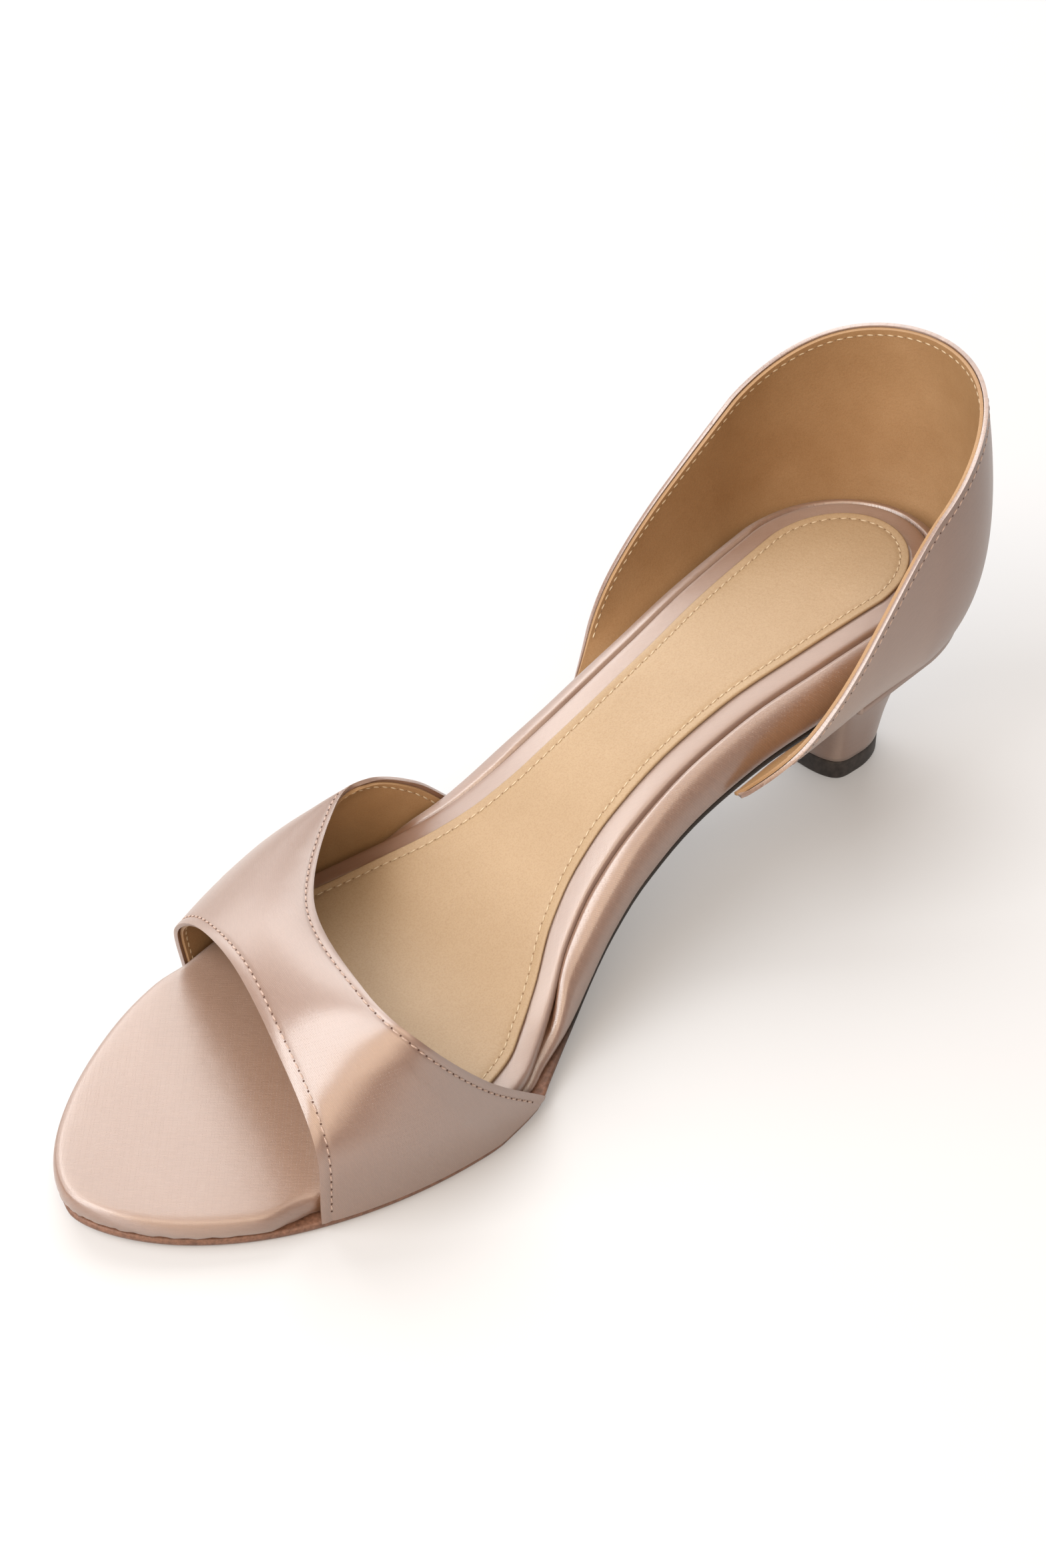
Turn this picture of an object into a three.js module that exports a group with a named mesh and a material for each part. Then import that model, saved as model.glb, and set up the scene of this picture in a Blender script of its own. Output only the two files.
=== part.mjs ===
// A right-foot heeled sandal in satin: open toe, one wide vamp strap and a closed heel quarter.
// Millimetres, +X towards the toe, +Y towards the inner (medial) side of the foot, +Z up.
// Lengths along the shoe are given as u, the distance back from the tip of the toe.

import * as THREE from 'three';

// Lengths along the shoe
const BED_END = 231;
const BOARD_START = 74;
const BOARD_END = 236;
const OUTSOLE_END = 187;
const HEEL_BREAST = 187.5;
const BALL_MEDIAL = 75;
const BALL_LATERAL = 86;
const SEAT_CENTRE = 206;

// Half widths at the ball, and how full the toe is
const BALL_HALF_MEDIAL = 41;
const BALL_HALF_LATERAL = 42.5;
const TIP_Y = 0.8;
const TOE_FULLNESS = 0.62;
const TOE_OVERHANG = 0.5;

// Thicknesses of the layers, bottom to top
const OUTSOLE_FOREFOOT = 2.3;
const OUTSOLE_WAIST = 1.7;
const BED_FOREFOOT = 5.6;
const BED_WAIST = 3.4;
const STACK_WAIST = 10.2;
const SOCK = 0.8;
const GAP = 0.3;

// Where the footbed thins, the outsole thins and the stack of layers grows into the waist
const BED_THINS_FROM = 62;
const BED_THINS_TO = 92;
const SOLE_THINS_FROM = 90;
const SOLE_THINS_TO = 115;
const FOREFOOT_MIDDLE = 60;
const WAIST_CLIMB = 12;
const BOARD_NOSE = 8;

// Satin on a leather lining
const STRAP_WALL = 1.8;
const STRAP_PROUD = 0.4;
const STRAP_CROWN = 2.6;
const STRAP_LATERAL_SWELL = 1;
const STRAP_FOOT_REACH = 0.42;
const STRAP_SWELL_FADE = 0.4;
const STRAP_SWELL_END = 0.6;
const QUARTER_WALL = 1.8;
const QUARTER_START = 155;
const QUARTER_TUCK = 0.5;
const QUARTER_FLARE_FRONT = 9;
const QUARTER_FLARE_BACK = 5.5;
const QUARTER_RISE_FRONT = 5.5;
const QUARTER_RISE_BACK = 10;
const QUARTER_LEAN = 6;
const QUARTER_BACK_HEIGHT = 53;
const QUARTER_FRONT_END = 165;
const QUARTER_STRAIGHT_SHARE = 0.56;

// Leather sock on the footbed
const SOCK_MARGIN = 5.2;
const SOCK_FRONT_U = 47;
const SOCK_FRONT_Y = 28;
const SOCK_FRONT_SLOPE = 2.75;
const SOCK_CORNER = 9;

// Heel
const HEEL_PROUD = 1.2;
const HEEL_RIM = 2;
const HEEL_SEAT_GAP = 0.1;
const HEEL_BREAST_SHARE = 0.42;
const HEEL_BREAST_SQUARE = 0.4;
const HEEL_POINTS = 40;
const TIP_HEIGHT = 5;

// Footbed top along the shoe
const BED_PROFILE = [
  { u: 0, z: 10.3 },
  { u: 12, z: 8.9 },
  { u: 30, z: 8.2 },
  { u: 72, z: 8.2 },
  { u: 84, z: 8.9 },
  { u: 92, z: 10.6 },
  { u: 100, z: 14.2 },
  { u: 110, z: 20.8 },
  { u: 120, z: 28 },
  { u: 130, z: 34.3 },
  { u: 150, z: 42.8 },
  { u: 175, z: 49.3 },
  { u: 205, z: 54 },
  { u: 240, z: 57.6 },
];

// Half widths behind the ball: edge of the sole, board and footbed on each side
const WAIST = [
  { u: 74, soleM: 41.8, soleL: 41.4, boardM: 37, boardL: 37, bedM: 39.6, bedL: 39.3 },
  { u: 86, soleM: 39.8, soleL: 41.7, boardM: 36.8, boardL: 38.4, bedM: 36.2, bedL: 39.2 },
  { u: 92, soleM: 36.6, soleL: 40.9, boardM: 34.6, boardL: 37.9, bedM: 32.8, bedL: 37.2 },
  { u: 100, soleM: 32.7, soleL: 38.4, boardM: 32, boardL: 35.4, bedM: 28.2, bedL: 33 },
  { u: 110, soleM: 28.6, soleL: 33.4, boardM: 28.2, boardL: 30.6, bedM: 22.1, bedL: 25.9 },
  { u: 120, soleM: 25.7, soleL: 28.6, boardM: 25.3, boardL: 26.2, bedM: 18.8, bedL: 20.4 },
  { u: 130, soleM: 24, soleL: 25.1, boardM: 23.6, boardL: 24, bedM: 17.5, bedL: 17.7 },
  { u: 146, soleM: 22.9, soleL: 22.9, boardM: 22.5, boardL: 22.5, bedM: 16.8, bedL: 16.6 },
  { u: 162, soleM: 23.5, soleL: 23.3, boardM: 23.1, boardL: 22.9, bedM: 17.3, bedL: 17.2 },
  { u: 182, soleM: 25.6, soleL: 25, boardM: 25.2, boardL: 24.6, bedM: 19.4, bedL: 19.4 },
  { u: 206, soleM: 27, soleL: 26.6, boardM: 26.6, boardL: 26.2, bedM: 21.6, bedL: 21.4 },
];

// How far the footbed stands inside the sole's edge, before the ball: more under the strap
const TOE_MARGIN = [
  { u: 0, medial: -0.5, lateral: -0.5 },
  { u: 24, medial: -0.5, lateral: -0.5 },
  { u: 35, medial: 2.1, lateral: -0.4 },
  { u: 47, medial: 2.2, lateral: 0.3 },
  { u: 57, medial: 2.2, lateral: 2.1 },
  { u: 74, medial: 2.2, lateral: 2.1 },
];

// Strap edges on the outer face, from the outer (lateral) foot over the instep to the medial foot
const STRAP_FRONT = [
  { at: 0, u: 56.5, y: -39, z: 2.6 },
  { at: 0.17, u: 54.1, y: -37, z: 17.2 },
  { at: 0.33, u: 52, y: -25.4, z: 27.5 },
  { at: 0.5, u: 47.1, y: -6.3, z: 34 },
  { at: 0.67, u: 40.8, y: 14.1, z: 32.7 },
  { at: 0.84, u: 35.4, y: 32.2, z: 23.1 },
  { at: 1, u: 34.6, y: 33.8, z: 2.6 },
];
const STRAP_REAR = [
  { at: 0, u: 122, y: -28.3, z: 19 },
  { at: 0.12, u: 114.6, y: -31.6, z: 26 },
  { at: 0.25, u: 103.9, y: -34, z: 31.2 },
  { at: 0.37, u: 91.9, y: -29.5, z: 34 },
  { at: 0.5, u: 67, y: -5.4, z: 38.7 },
  { at: 0.62, u: 56.5, y: 23, z: 42.4 },
  { at: 0.75, u: 58.4, y: 37.7, z: 37.7 },
  { at: 0.87, u: 72.1, y: 40.2, z: 19.2 },
  { at: 1, u: 88, y: 39.2, z: 2.8 },
];

// Top edge of the quarter: height above the sole's upper face, along the shoe
const QUARTER_TOP = [
  { u: 155, height: 1 },
  { u: 160, height: 3.2 },
  { u: 166, height: 7 },
  { u: 174, height: 13.5 },
  { u: 188, height: 26 },
  { u: 208, height: 41 },
  { u: 230, height: 50.5 },
  { u: 246, height: QUARTER_BACK_HEIGHT },
];

// Heel below its seat: front and back of each level section, and its half width
const HEEL_SECTIONS = [
  { z: 38, front: 191.5, back: 236.4, half: 22.4 },
  { z: 30, front: 196.5, back: 233.4, half: 16.6 },
  { z: 21, front: 200.4, back: 229.2, half: 12.8 },
  { z: 12, front: 202.4, back: 226, half: 10.9 },
  { z: 5.3, front: 203, back: 224.4, half: 10.2 },
];

// Colours and finishes
const SATIN = { color: '#dcc4b6', roughness: 0.38, metalness: 0 };
const TAN_LEATHER = { color: '#deb98f', roughness: 0.6, metalness: 0 };
const SOLE_LEATHER = { color: '#6e4636', roughness: 0.55, metalness: 0 };
const TOP_PIECE = { color: '#3a302c', roughness: 0.7, metalness: 0 };

// A smooth curve through the rows of a table that never overshoots them
function curveThrough(rows, at, value) {
  const count = rows.length;
  const step = (k) => rows[k + 1][at] - rows[k][at];
  const slope = (k) => (rows[k + 1][value] - rows[k][value]) / step(k);
  const tangent = (k) => {
    if (k === 0) return slope(0);
    if (k === count - 1) return slope(count - 2);
    const before = slope(k - 1);
    const after = slope(k);
    if (before * after <= 0) return 0;
    const wBefore = 2 * step(k) + step(k - 1);
    const wAfter = step(k) + 2 * step(k - 1);
    return (wBefore + wAfter) / (wBefore / before + wAfter / after);
  };
  return (position) => {
    const p = THREE.MathUtils.clamp(position, rows[0][at], rows[count - 1][at]);
    let k = 0;
    while (k < count - 2 && p > rows[k + 1][at]) k += 1;
    const width = step(k);
    const t = (p - rows[k][at]) / width;
    const rise = rows[k + 1][value] - rows[k][value];
    const start = tangent(k) * width;
    const end = tangent(k + 1) * width;
    return rows[k][value] + t * (start + t * (3 * rise - 2 * start - end + t * (start + end - 2 * rise)));
  };
}

// A round curve through points given along one parameter, free to swell between them
function splineThrough(rows) {
  const axis = (value) => {
    const tangent = (k) => {
      const a = rows[Math.max(k - 1, 0)];
      const b = rows[Math.min(k + 1, rows.length - 1)];
      return (b[value] - a[value]) / (b.at - a.at);
    };
    return (t) => {
      let k = 0;
      while (k < rows.length - 2 && t > rows[k + 1].at) k += 1;
      const width = rows[k + 1].at - rows[k].at;
      const f = (t - rows[k].at) / width;
      const rise = rows[k + 1][value] - rows[k][value];
      const start = tangent(k) * width;
      const end = tangent(k + 1) * width;
      return rows[k][value] + f * (start + f * (3 * rise - 2 * start - end + f * (start + end - 2 * rise)));
    };
  };
  const [u, y, z] = ['u', 'y', 'z'].map(axis);
  return (t) => ({ u: u(t), y: y(t), z: z(t) });
}

// The last: heights of each layer along the shoe
const bedTop = curveThrough(BED_PROFILE, 'u', 'z');
const bedThickness = (u) => THREE.MathUtils.lerp(
  BED_FOREFOOT, BED_WAIST, THREE.MathUtils.smoothstep(u, BED_THINS_FROM, BED_THINS_TO));
const stackForefoot = BED_FOREFOOT + GAP;
function outsoleTop(u) {
  const climb = THREE.MathUtils.smoothstep(bedTop(u) - bedTop(FOREFOOT_MIDDLE), 0, WAIST_CLIMB);
  return bedTop(u) - THREE.MathUtils.lerp(stackForefoot, STACK_WAIST, climb);
}
const outsoleThickness = (u) => THREE.MathUtils.lerp(
  OUTSOLE_FOREFOOT, OUTSOLE_WAIST, THREE.MathUtils.smoothstep(u, SOLE_THINS_FROM, SOLE_THINS_TO));

// The last: outlines of each layer, as the medial and the lateral half width at u
function toeHalf(u, ball, half) {
  const back = 1 - Math.min(Math.max(u, 0) / ball, 1);
  return half * Math.pow(1 - back * back, TOE_FULLNESS);
}
function heelHalf(u, half, end) {
  const past = (u - SEAT_CENTRE) / (end - SEAT_CENTRE);
  return half * Math.sqrt(Math.max(1 - past * past, 0));
}
function halfWidth(column, end) {
  const waist = curveThrough(WAIST, 'u', column);
  return (u) => (u < SEAT_CENTRE ? waist(u) : heelHalf(u, waist(SEAT_CENTRE), end));
}
const soleWaist = { medial: halfWidth('soleM', BOARD_END), lateral: halfWidth('soleL', BOARD_END) };
const boardWaist = { medial: halfWidth('boardM', BOARD_END), lateral: halfWidth('boardL', BOARD_END) };
const bedWaist = { medial: halfWidth('bedM', BED_END), lateral: halfWidth('bedL', BED_END) };
const toeMargin = {
  medial: curveThrough(TOE_MARGIN, 'u', 'medial'),
  lateral: curveThrough(TOE_MARGIN, 'u', 'lateral'),
};
const JOIN = WAIST[0].u;
const toeSide = {
  medial: (u) => toeHalf(u, BALL_MEDIAL, BALL_HALF_MEDIAL) + TIP_Y,
  lateral: (u) => toeHalf(u, BALL_LATERAL, BALL_HALF_LATERAL) - TIP_Y,
};
const soleEdge = (side, u) => (u < JOIN ? toeSide[side](u) : soleWaist[side](u));
function bedEdge(side, u) {
  if (u >= JOIN) return bedWaist[side](u);
  return toeSide[side](u + TOE_OVERHANG) - toeMargin[side](u);
}

// A point of the shoe, from its distance behind the toe
const place = (u, y, z) => new THREE.Vector3(-u, y, z);

// Distances along a length, close together at both ends where outlines turn
function stations(start, end, count) {
  const list = [];
  for (let k = 0; k <= count; k += 1) {
    list.push(start + (end - start) * (1 - Math.cos(Math.PI * k / count)) / 2);
  }
  return list;
}

// A closed outline, toe tip first, back along the medial side and forward along the lateral side
function outline(list, medial, lateral) {
  const front = list[0];
  const back = list[list.length - 1];
  const inner = list.slice(1, -1);
  return [
    new THREE.Vector2(front, (medial(front) - lateral(front)) / 2),
    ...inner.map((u) => new THREE.Vector2(u, medial(u))),
    new THREE.Vector2(back, (medial(back) - lateral(back)) / 2),
    ...inner.reverse().map((u) => new THREE.Vector2(u, -lateral(u))),
  ];
}

// The outline drawn in by a distance, across its own direction at each point
function drawnIn(points, distance) {
  const count = points.length;
  return points.map((point, k) => {
    const along = points[(k + 1) % count].clone().sub(points[(k + count - 1) % count]).normalize();
    return new THREE.Vector2(point.x + along.y * distance, point.y - along.x * distance);
  });
}

// One mesh geometry from rows of points and triangles
function solidFrom(points, triangles) {
  const geometry = new THREE.BufferGeometry();
  geometry.setAttribute('position', new THREE.Float32BufferAttribute(points.flatMap((p) => p.toArray()), 3));
  geometry.setIndex(triangles);
  geometry.computeVertexNormals();
  return geometry;
}

// A layered solid: rings of one outline stacked upwards, closed by a ladder of cross strips at each end
function stackedSolid(rings) {
  const size = rings[0].length;
  const half = size / 2;
  const triangles = [];
  for (let r = 0; r + 1 < rings.length; r += 1) {
    for (let k = 0; k < size; k += 1) {
      const a = r * size + k;
      const b = r * size + (k + 1) % size;
      triangles.push(a, b, b + size, a, b + size, a + size);
    }
  }
  const close = (first, upward) => {
    for (let k = 0; k < half; k += 1) {
      const m0 = first + k;
      const m1 = first + k + 1;
      const l1 = first + (size - k - 1) % size;
      const l0 = first + (size - k) % size;
      const faces = [];
      if (m1 !== l1) faces.push([m0, m1, l1]);
      if (m0 !== l0) faces.push([m0, l1, l0]);
      faces.forEach(([a, b, c]) => triangles.push(...(upward ? [a, b, c] : [a, c, b])));
    }
  };
  close(0, false);
  close((rings.length - 1) * size, true);
  return solidFrom(rings.flat(), triangles);
}

// A layer between two heights, its edge rounded by drawing in the rings named in its edge table
function layer(points, edge, bottom, top) {
  return stackedSolid(edge.map(({ inset, up }) => drawnIn(points, inset).map(
    (p) => place(p.x, p.y, THREE.MathUtils.lerp(bottom(p.x), top(p.x), up)))));
}

// A sheet of constant wall between an outer face, given over across and along, and its inner face
function walledSheet(outer, acrossCount, alongCount, wall, lowest) {
  const nudge = 0.002;
  const points = [];
  const inside = [];
  for (let i = 0; i <= acrossCount; i += 1) {
    for (let j = 0; j <= alongCount; j += 1) {
      const s = i / acrossCount;
      const v = j / alongCount;
      const point = outer(s, v);
      const ds = outer(Math.min(s + nudge, 1), v).sub(outer(Math.max(s - nudge, 0), v));
      const dv = outer(s, Math.min(v + nudge, 1)).sub(outer(s, Math.max(v - nudge, 0)));
      const normal = ds.cross(dv).normalize();
      const inner = point.clone().addScaledVector(normal, -wall);
      inner.z = Math.max(inner.z, lowest(-inner.x));
      points.push(point);
      inside.push(inner);
    }
  }
  const row = alongCount + 1;
  const face = points.length;
  const triangles = [];
  const quad = (a, b, c, d) => triangles.push(a, b, c, a, c, d);
  for (let i = 0; i < acrossCount; i += 1) {
    for (let j = 0; j < alongCount; j += 1) {
      const a = i * row + j;
      quad(a, a + row, a + row + 1, a + 1);
      quad(face + a, face + a + 1, face + a + row + 1, face + a + row);
    }
  }
  for (let i = 0; i < acrossCount; i += 1) {
    const near = i * row;
    const far = near + alongCount;
    quad(near, face + near, face + near + row, near + row);
    quad(far, far + row, face + far + row, face + far);
  }
  const lastRow = acrossCount * row;
  for (let j = 0; j < alongCount; j += 1) {
    quad(j, j + 1, face + j + 1, face + j);
    quad(lastRow + j, face + lastRow + j, face + lastRow + j + 1, lastRow + j + 1);
  }
  return solidFrom([...points, ...inside], triangles);
}

// Leather outsole: flat under the forefoot, sprung at the toe, up the waist to the heel breast
function makeOutsole() {
  const squareEnd = OUTSOLE_END - 0.02;
  const along = stations(0, OUTSOLE_END * 2, 76).filter((u) => u < squareEnd - 1);
  const points = outline([...along, squareEnd, OUTSOLE_END],
    (u) => soleEdge('medial', u), (u) => soleEdge('lateral', u));
  const edge = [
    { inset: 1.3, up: 0 },
    { inset: 0.3, up: 0.3 },
    { inset: 0, up: 0.7 },
    { inset: 0.3, up: 1 },
  ];
  return layer(points, edge, (u) => outsoleTop(u) - outsoleThickness(u), outsoleTop);
}

// Satin-covered board: a wedge that starts under the ball and shows as the lower band of the waist
function makeBoard() {
  const nose = (u) => Math.sqrt(1 - Math.pow(1 - Math.min((u - BOARD_START) / BOARD_NOSE, 1), 2));
  const points = outline(stations(BOARD_START, BOARD_END, 44),
    (u) => boardWaist.medial(u) * nose(u), (u) => boardWaist.lateral(u) * nose(u));
  const edge = [
    { inset: 1.6, up: 0 },
    { inset: 0.4, up: 0.2 },
    { inset: 0, up: 0.45 },
    { inset: 0.5, up: 0.72 },
    { inset: 1.7, up: 0.93 },
    { inset: 3.2, up: 1 },
  ];
  return layer(points, edge, (u) => outsoleTop(u) + GAP, (u) => bedTop(u) - bedThickness(u) - GAP);
}

// Padded footbed wrapped in satin, from the open toe to the heel seat
function makeFootbed() {
  const points = outline(stations(-TOE_OVERHANG, BED_END, 52),
    (u) => bedEdge('medial', u), (u) => bedEdge('lateral', u));
  const edge = [
    { inset: 1.2, up: 0 },
    { inset: 0.2, up: 0.2 },
    { inset: 0, up: 0.5 },
    { inset: 0.5, up: 0.78 },
    { inset: 1.5, up: 0.94 },
    { inset: 3, up: 1 },
  ];
  return layer(points, edge, (u) => bedTop(u) - bedThickness(u), bedTop);
}

// Leather sock stuck on the footbed, its front cut slantwise under the strap
function makeSock() {
  const medial = (u) => bedEdge('medial', u) - SOCK_MARGIN;
  const slant = (u) => SOCK_FRONT_Y - (u - SOCK_FRONT_U) * SOCK_FRONT_SLOPE;
  const lateral = (u) => {
    const side = SOCK_MARGIN - bedEdge('lateral', u);
    const apart = side - slant(u);
    return -(side + slant(u) + Math.hypot(apart, SOCK_CORNER)) / 2;
  };
  const end = BED_END - SOCK_MARGIN;
  const seatHalf = (u, side) => (u < SEAT_CENTRE ? side(u) : heelHalf(u, side(SEAT_CENTRE), end));
  const points = outline(stations(SOCK_FRONT_U, end, 44),
    (u) => seatHalf(u, medial), (u) => seatHalf(u, lateral));
  const edge = [
    { inset: 0.2, up: 0 },
    { inset: 0, up: 0.5 },
    { inset: 0.4, up: 1 },
  ];
  return layer(points, edge, (u) => bedTop(u) + GAP, (u) => bedTop(u) + GAP + SOCK);
}

// Vamp strap: one satin band over the ball, cut far back on the lateral side, feet on the outsole
function makeVampStrap() {
  const front = splineThrough(STRAP_FRONT);
  const rear = splineThrough(STRAP_REAR);
  const seat = (u, sign, side) => place(u, sign * (soleEdge(side, u) + STRAP_PROUD), outsoleTop(u) + GAP);
  const asPoint = (p) => place(p.u, p.y, p.z);
  const ease = (t) => 1 - THREE.MathUtils.smootherstep(t, 0, STRAP_FOOT_REACH);
  const outer = (across, along) => {
    const a = asPoint(front(across));
    const b = asPoint(rear(across));
    const point = a.clone().lerp(b, along);
    const feet = [
      { at: 0, sign: -1, side: 'lateral', hold: ease(across) },
      { at: 1, sign: 1, side: 'medial', hold: ease(1 - across) },
    ];
    feet.forEach(({ at, sign, side, hold }) => {
      const straight = asPoint(front(at)).lerp(asPoint(rear(at)), along);
      point.addScaledVector(seat(-straight.x, sign, side).sub(straight), hold);
    });
    const round = 4 * along * (1 - along);
    const fade = THREE.MathUtils.smoothstep(STRAP_SWELL_END - across, 0, STRAP_SWELL_FADE);
    const swell = (STRAP_CROWN + STRAP_LATERAL_SWELL * fade) * round * Math.sin(Math.PI * across);
    const turn = Math.PI * across;
    point.y -= Math.cos(turn) * swell;
    point.z += Math.sin(turn) * swell;
    return point;
  };
  return walledSheet(outer, 40, 14, STRAP_WALL, (u) => outsoleTop(u) + GAP);
}

// Heel quarter: a closed back that leaves the waist low on both sides and flares out over the seat
function makeHeelQuarter() {
  const topHeight = curveThrough(QUARTER_TOP, 'u', 'height');
  const back = BOARD_END - SEAT_CENTRE;
  const path = (across) => {
    const side = across < 0.5 ? 'lateral' : 'medial';
    const sign = across < 0.5 ? -1 : 1;
    const run = 1 - Math.abs(across - 0.5) * 2;
    if (run < QUARTER_STRAIGHT_SHARE) {
      const u = THREE.MathUtils.lerp(QUARTER_START, SEAT_CENTRE, run / QUARTER_STRAIGHT_SHARE);
      return { u, y: sign * boardWaist[side](u) };
    }
    const angle = (run - QUARTER_STRAIGHT_SHARE) / (1 - QUARTER_STRAIGHT_SHARE) * Math.PI / 2;
    const half = boardWaist[side](SEAT_CENTRE);
    return { u: SEAT_CENTRE + back * Math.sin(angle), y: sign * half * Math.cos(angle) };
  };
  const nudge = 0.004;
  const outer = (across, up) => {
    const p = path(across);
    const a = path(Math.max(across - nudge, 0));
    const b = path(Math.min(across + nudge, 1));
    const length = Math.hypot(b.u - a.u, b.y - a.y);
    const height = up * topHeight(p.u);
    const backness = THREE.MathUtils.smoothstep(p.u, QUARTER_FRONT_END, SEAT_CENTRE);
    const width = THREE.MathUtils.lerp(QUARTER_FLARE_FRONT, QUARTER_FLARE_BACK, backness);
    const rise = THREE.MathUtils.lerp(QUARTER_RISE_FRONT, QUARTER_RISE_BACK, backness);
    const flare = width * (1 - Math.exp(-height / rise));
    const lean = QUARTER_LEAN * Math.pow(height / QUARTER_BACK_HEIGHT, 2);
    const out = QUARTER_TUCK + flare - lean;
    const u = p.u + (b.y - a.y) / length * out;
    const y = p.y - (b.u - a.u) / length * out;
    return place(u, y, outsoleTop(u) + GAP + height);
  };
  return walledSheet(outer, 48, 10, QUARTER_WALL, (u) => outsoleTop(u) + GAP);
}

// Level sections of the heel: flat across the breast, round at the back
function heelSection({ front, back, half }) {
  const points = [];
  const straight = (back - front) * HEEL_BREAST_SHARE;
  for (let k = 0; k < HEEL_POINTS; k += 1) {
    const angle = Math.PI * 2 * k / HEEL_POINTS;
    const lengthwise = -Math.cos(angle);
    const reach = lengthwise > 0 ? back - front - straight : straight;
    const square = lengthwise > 0 ? 1 : HEEL_BREAST_SQUARE;
    const u = front + straight + Math.sign(lengthwise) * Math.pow(Math.abs(lengthwise), square) * reach;
    points.push(new THREE.Vector2(u, half * Math.sin(angle)));
  }
  return points;
}
// Covered heel: its seat follows the board and the outsole's end, its back curves in to the top piece
function makeHeel() {
  const seat = heelSection({
    front: HEEL_BREAST,
    back: BOARD_END + HEEL_PROUD,
    half: soleEdge('medial', SEAT_CENTRE) + HEEL_PROUD,
  });
  const rim = seat.map((p) => place(p.x, p.y, outsoleTop(p.x) - HEEL_SEAT_GAP));
  const brim = seat.map((p) => place(p.x, p.y, outsoleTop(p.x) - HEEL_RIM));
  const levels = HEEL_SECTIONS.map((row) => heelSection(row).map((p) => place(p.x, p.y, row.z)));
  return stackedSolid([...levels.reverse(), brim, rim]);
}

// Top piece under the heel, flat on the floor
function makeHeelTip() {
  const section = heelSection(HEEL_SECTIONS[HEEL_SECTIONS.length - 1]);
  const edge = [
    { inset: 0.6, up: 0 },
    { inset: 0, up: 0.2 },
    { inset: 0, up: 1 },
  ];
  return layer(section, edge, () => 0, () => TIP_HEIGHT);
}

function piece(name, geometry, finish) {
  const mesh = new THREE.Mesh(geometry, new THREE.MeshStandardMaterial(finish));
  mesh.name = name;
  return mesh;
}

const sandal = new THREE.Group();
sandal.add(
  piece('outsole', makeOutsole(), SOLE_LEATHER),
  piece('board', makeBoard(), SATIN),
  piece('footbed', makeFootbed(), SATIN),
  piece('sock', makeSock(), TAN_LEATHER),
  piece('vamp_strap', makeVampStrap(), SATIN),
  piece('heel_quarter', makeHeelQuarter(), SATIN),
  piece('heel', makeHeel(), SATIN),
  piece('heel_tip', makeHeelTip(), TOP_PIECE),
);

// The origin is on the floor under the middle of the sandal
const box = new THREE.Box3().setFromObject(sandal);
const middle = box.getCenter(new THREE.Vector3());
sandal.position.set(-middle.x, -middle.y, -box.min.z);

export default sandal;
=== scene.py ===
import math

import bmesh
import bpy
from mathutils import Matrix, Vector


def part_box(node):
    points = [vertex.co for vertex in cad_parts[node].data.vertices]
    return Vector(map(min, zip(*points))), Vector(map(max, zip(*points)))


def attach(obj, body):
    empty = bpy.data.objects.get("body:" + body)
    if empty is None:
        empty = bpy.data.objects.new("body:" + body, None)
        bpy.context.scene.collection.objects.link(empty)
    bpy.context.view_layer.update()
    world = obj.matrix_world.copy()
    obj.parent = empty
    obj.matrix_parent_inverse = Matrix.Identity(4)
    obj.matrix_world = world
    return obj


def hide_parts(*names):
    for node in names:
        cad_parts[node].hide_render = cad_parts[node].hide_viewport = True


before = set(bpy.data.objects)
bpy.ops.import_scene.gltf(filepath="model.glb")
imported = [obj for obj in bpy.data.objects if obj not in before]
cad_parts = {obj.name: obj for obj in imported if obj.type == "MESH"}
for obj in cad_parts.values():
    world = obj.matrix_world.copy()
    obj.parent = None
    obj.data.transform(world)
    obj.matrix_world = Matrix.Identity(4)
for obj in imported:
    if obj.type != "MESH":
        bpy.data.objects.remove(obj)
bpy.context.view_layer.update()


# Camera: a long lens on the inner side of the foot, ahead of the toe and about 50 degrees above the floor,
# where the photograph was taken from. It is aimed at the middle of the sandal, so that all of it shows.
MM = 0.001
IMAGE_HEIGHT = 2351
FOCAL_LENGTH_IN_PIXELS = 4150
SENSOR_LONG_SIDE = 36
CAMERA_PLACE = Vector((289.6, 316.8, 411.6)) * MM
CAMERA_TARGET = Vector((-4.1, -8.2, 34)) * MM
NEAREST_SEEN = 10

lens = bpy.data.cameras.new("camera")
lens.sensor_width = SENSOR_LONG_SIDE
lens.lens = SENSOR_LONG_SIDE * FOCAL_LENGTH_IN_PIXELS / IMAGE_HEIGHT
lens.clip_start = NEAREST_SEEN * MM
camera = bpy.data.objects.new("camera", lens)
camera.location = CAMERA_PLACE
camera.rotation_euler = (CAMERA_TARGET - CAMERA_PLACE).to_track_quat("-Z", "Y").to_euler()
bpy.context.scene.collection.objects.link(camera)
bpy.context.scene.camera = camera


# Outsole: thin brown sole leather, flat under the forefoot, sprung at the toe and lasted up the waist to the
# breast of the heel. Its edge is cut and waxed; its colour goes from brown at the forefoot to nearly black
# behind.
# Lengths along the shoe are u, the distance back from the tip of the toe; half widths are from its axis.
MEDIAL = 1
LATERAL = -1
TOE_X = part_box("outsole")[1].x / MM
AXIS_Y = 0.11
JOIN = 74
SEAT_CENTRE = 206
OUTSOLE_END = 187.45
BOARD_END = 236
BALL_BACK = {MEDIAL: 75, LATERAL: 86}
BALL_HALF = {MEDIAL: 41, LATERAL: 42.5}
TIP_Y = 0.8
TOE_FULLNESS = 0.62
BED_FOREFOOT = 5.6
GAP = 0.3
STACK_FOREFOOT = BED_FOREFOOT + GAP
STACK_WAIST = 10.2
FOREFOOT_MIDDLE = 60
WAIST_CLIMB = 12
OUTSOLE_FOREFOOT = 2.3
OUTSOLE_WAIST = 1.7
SOLE_THINS_FROM = 90
SOLE_THINS_TO = 115
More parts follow.
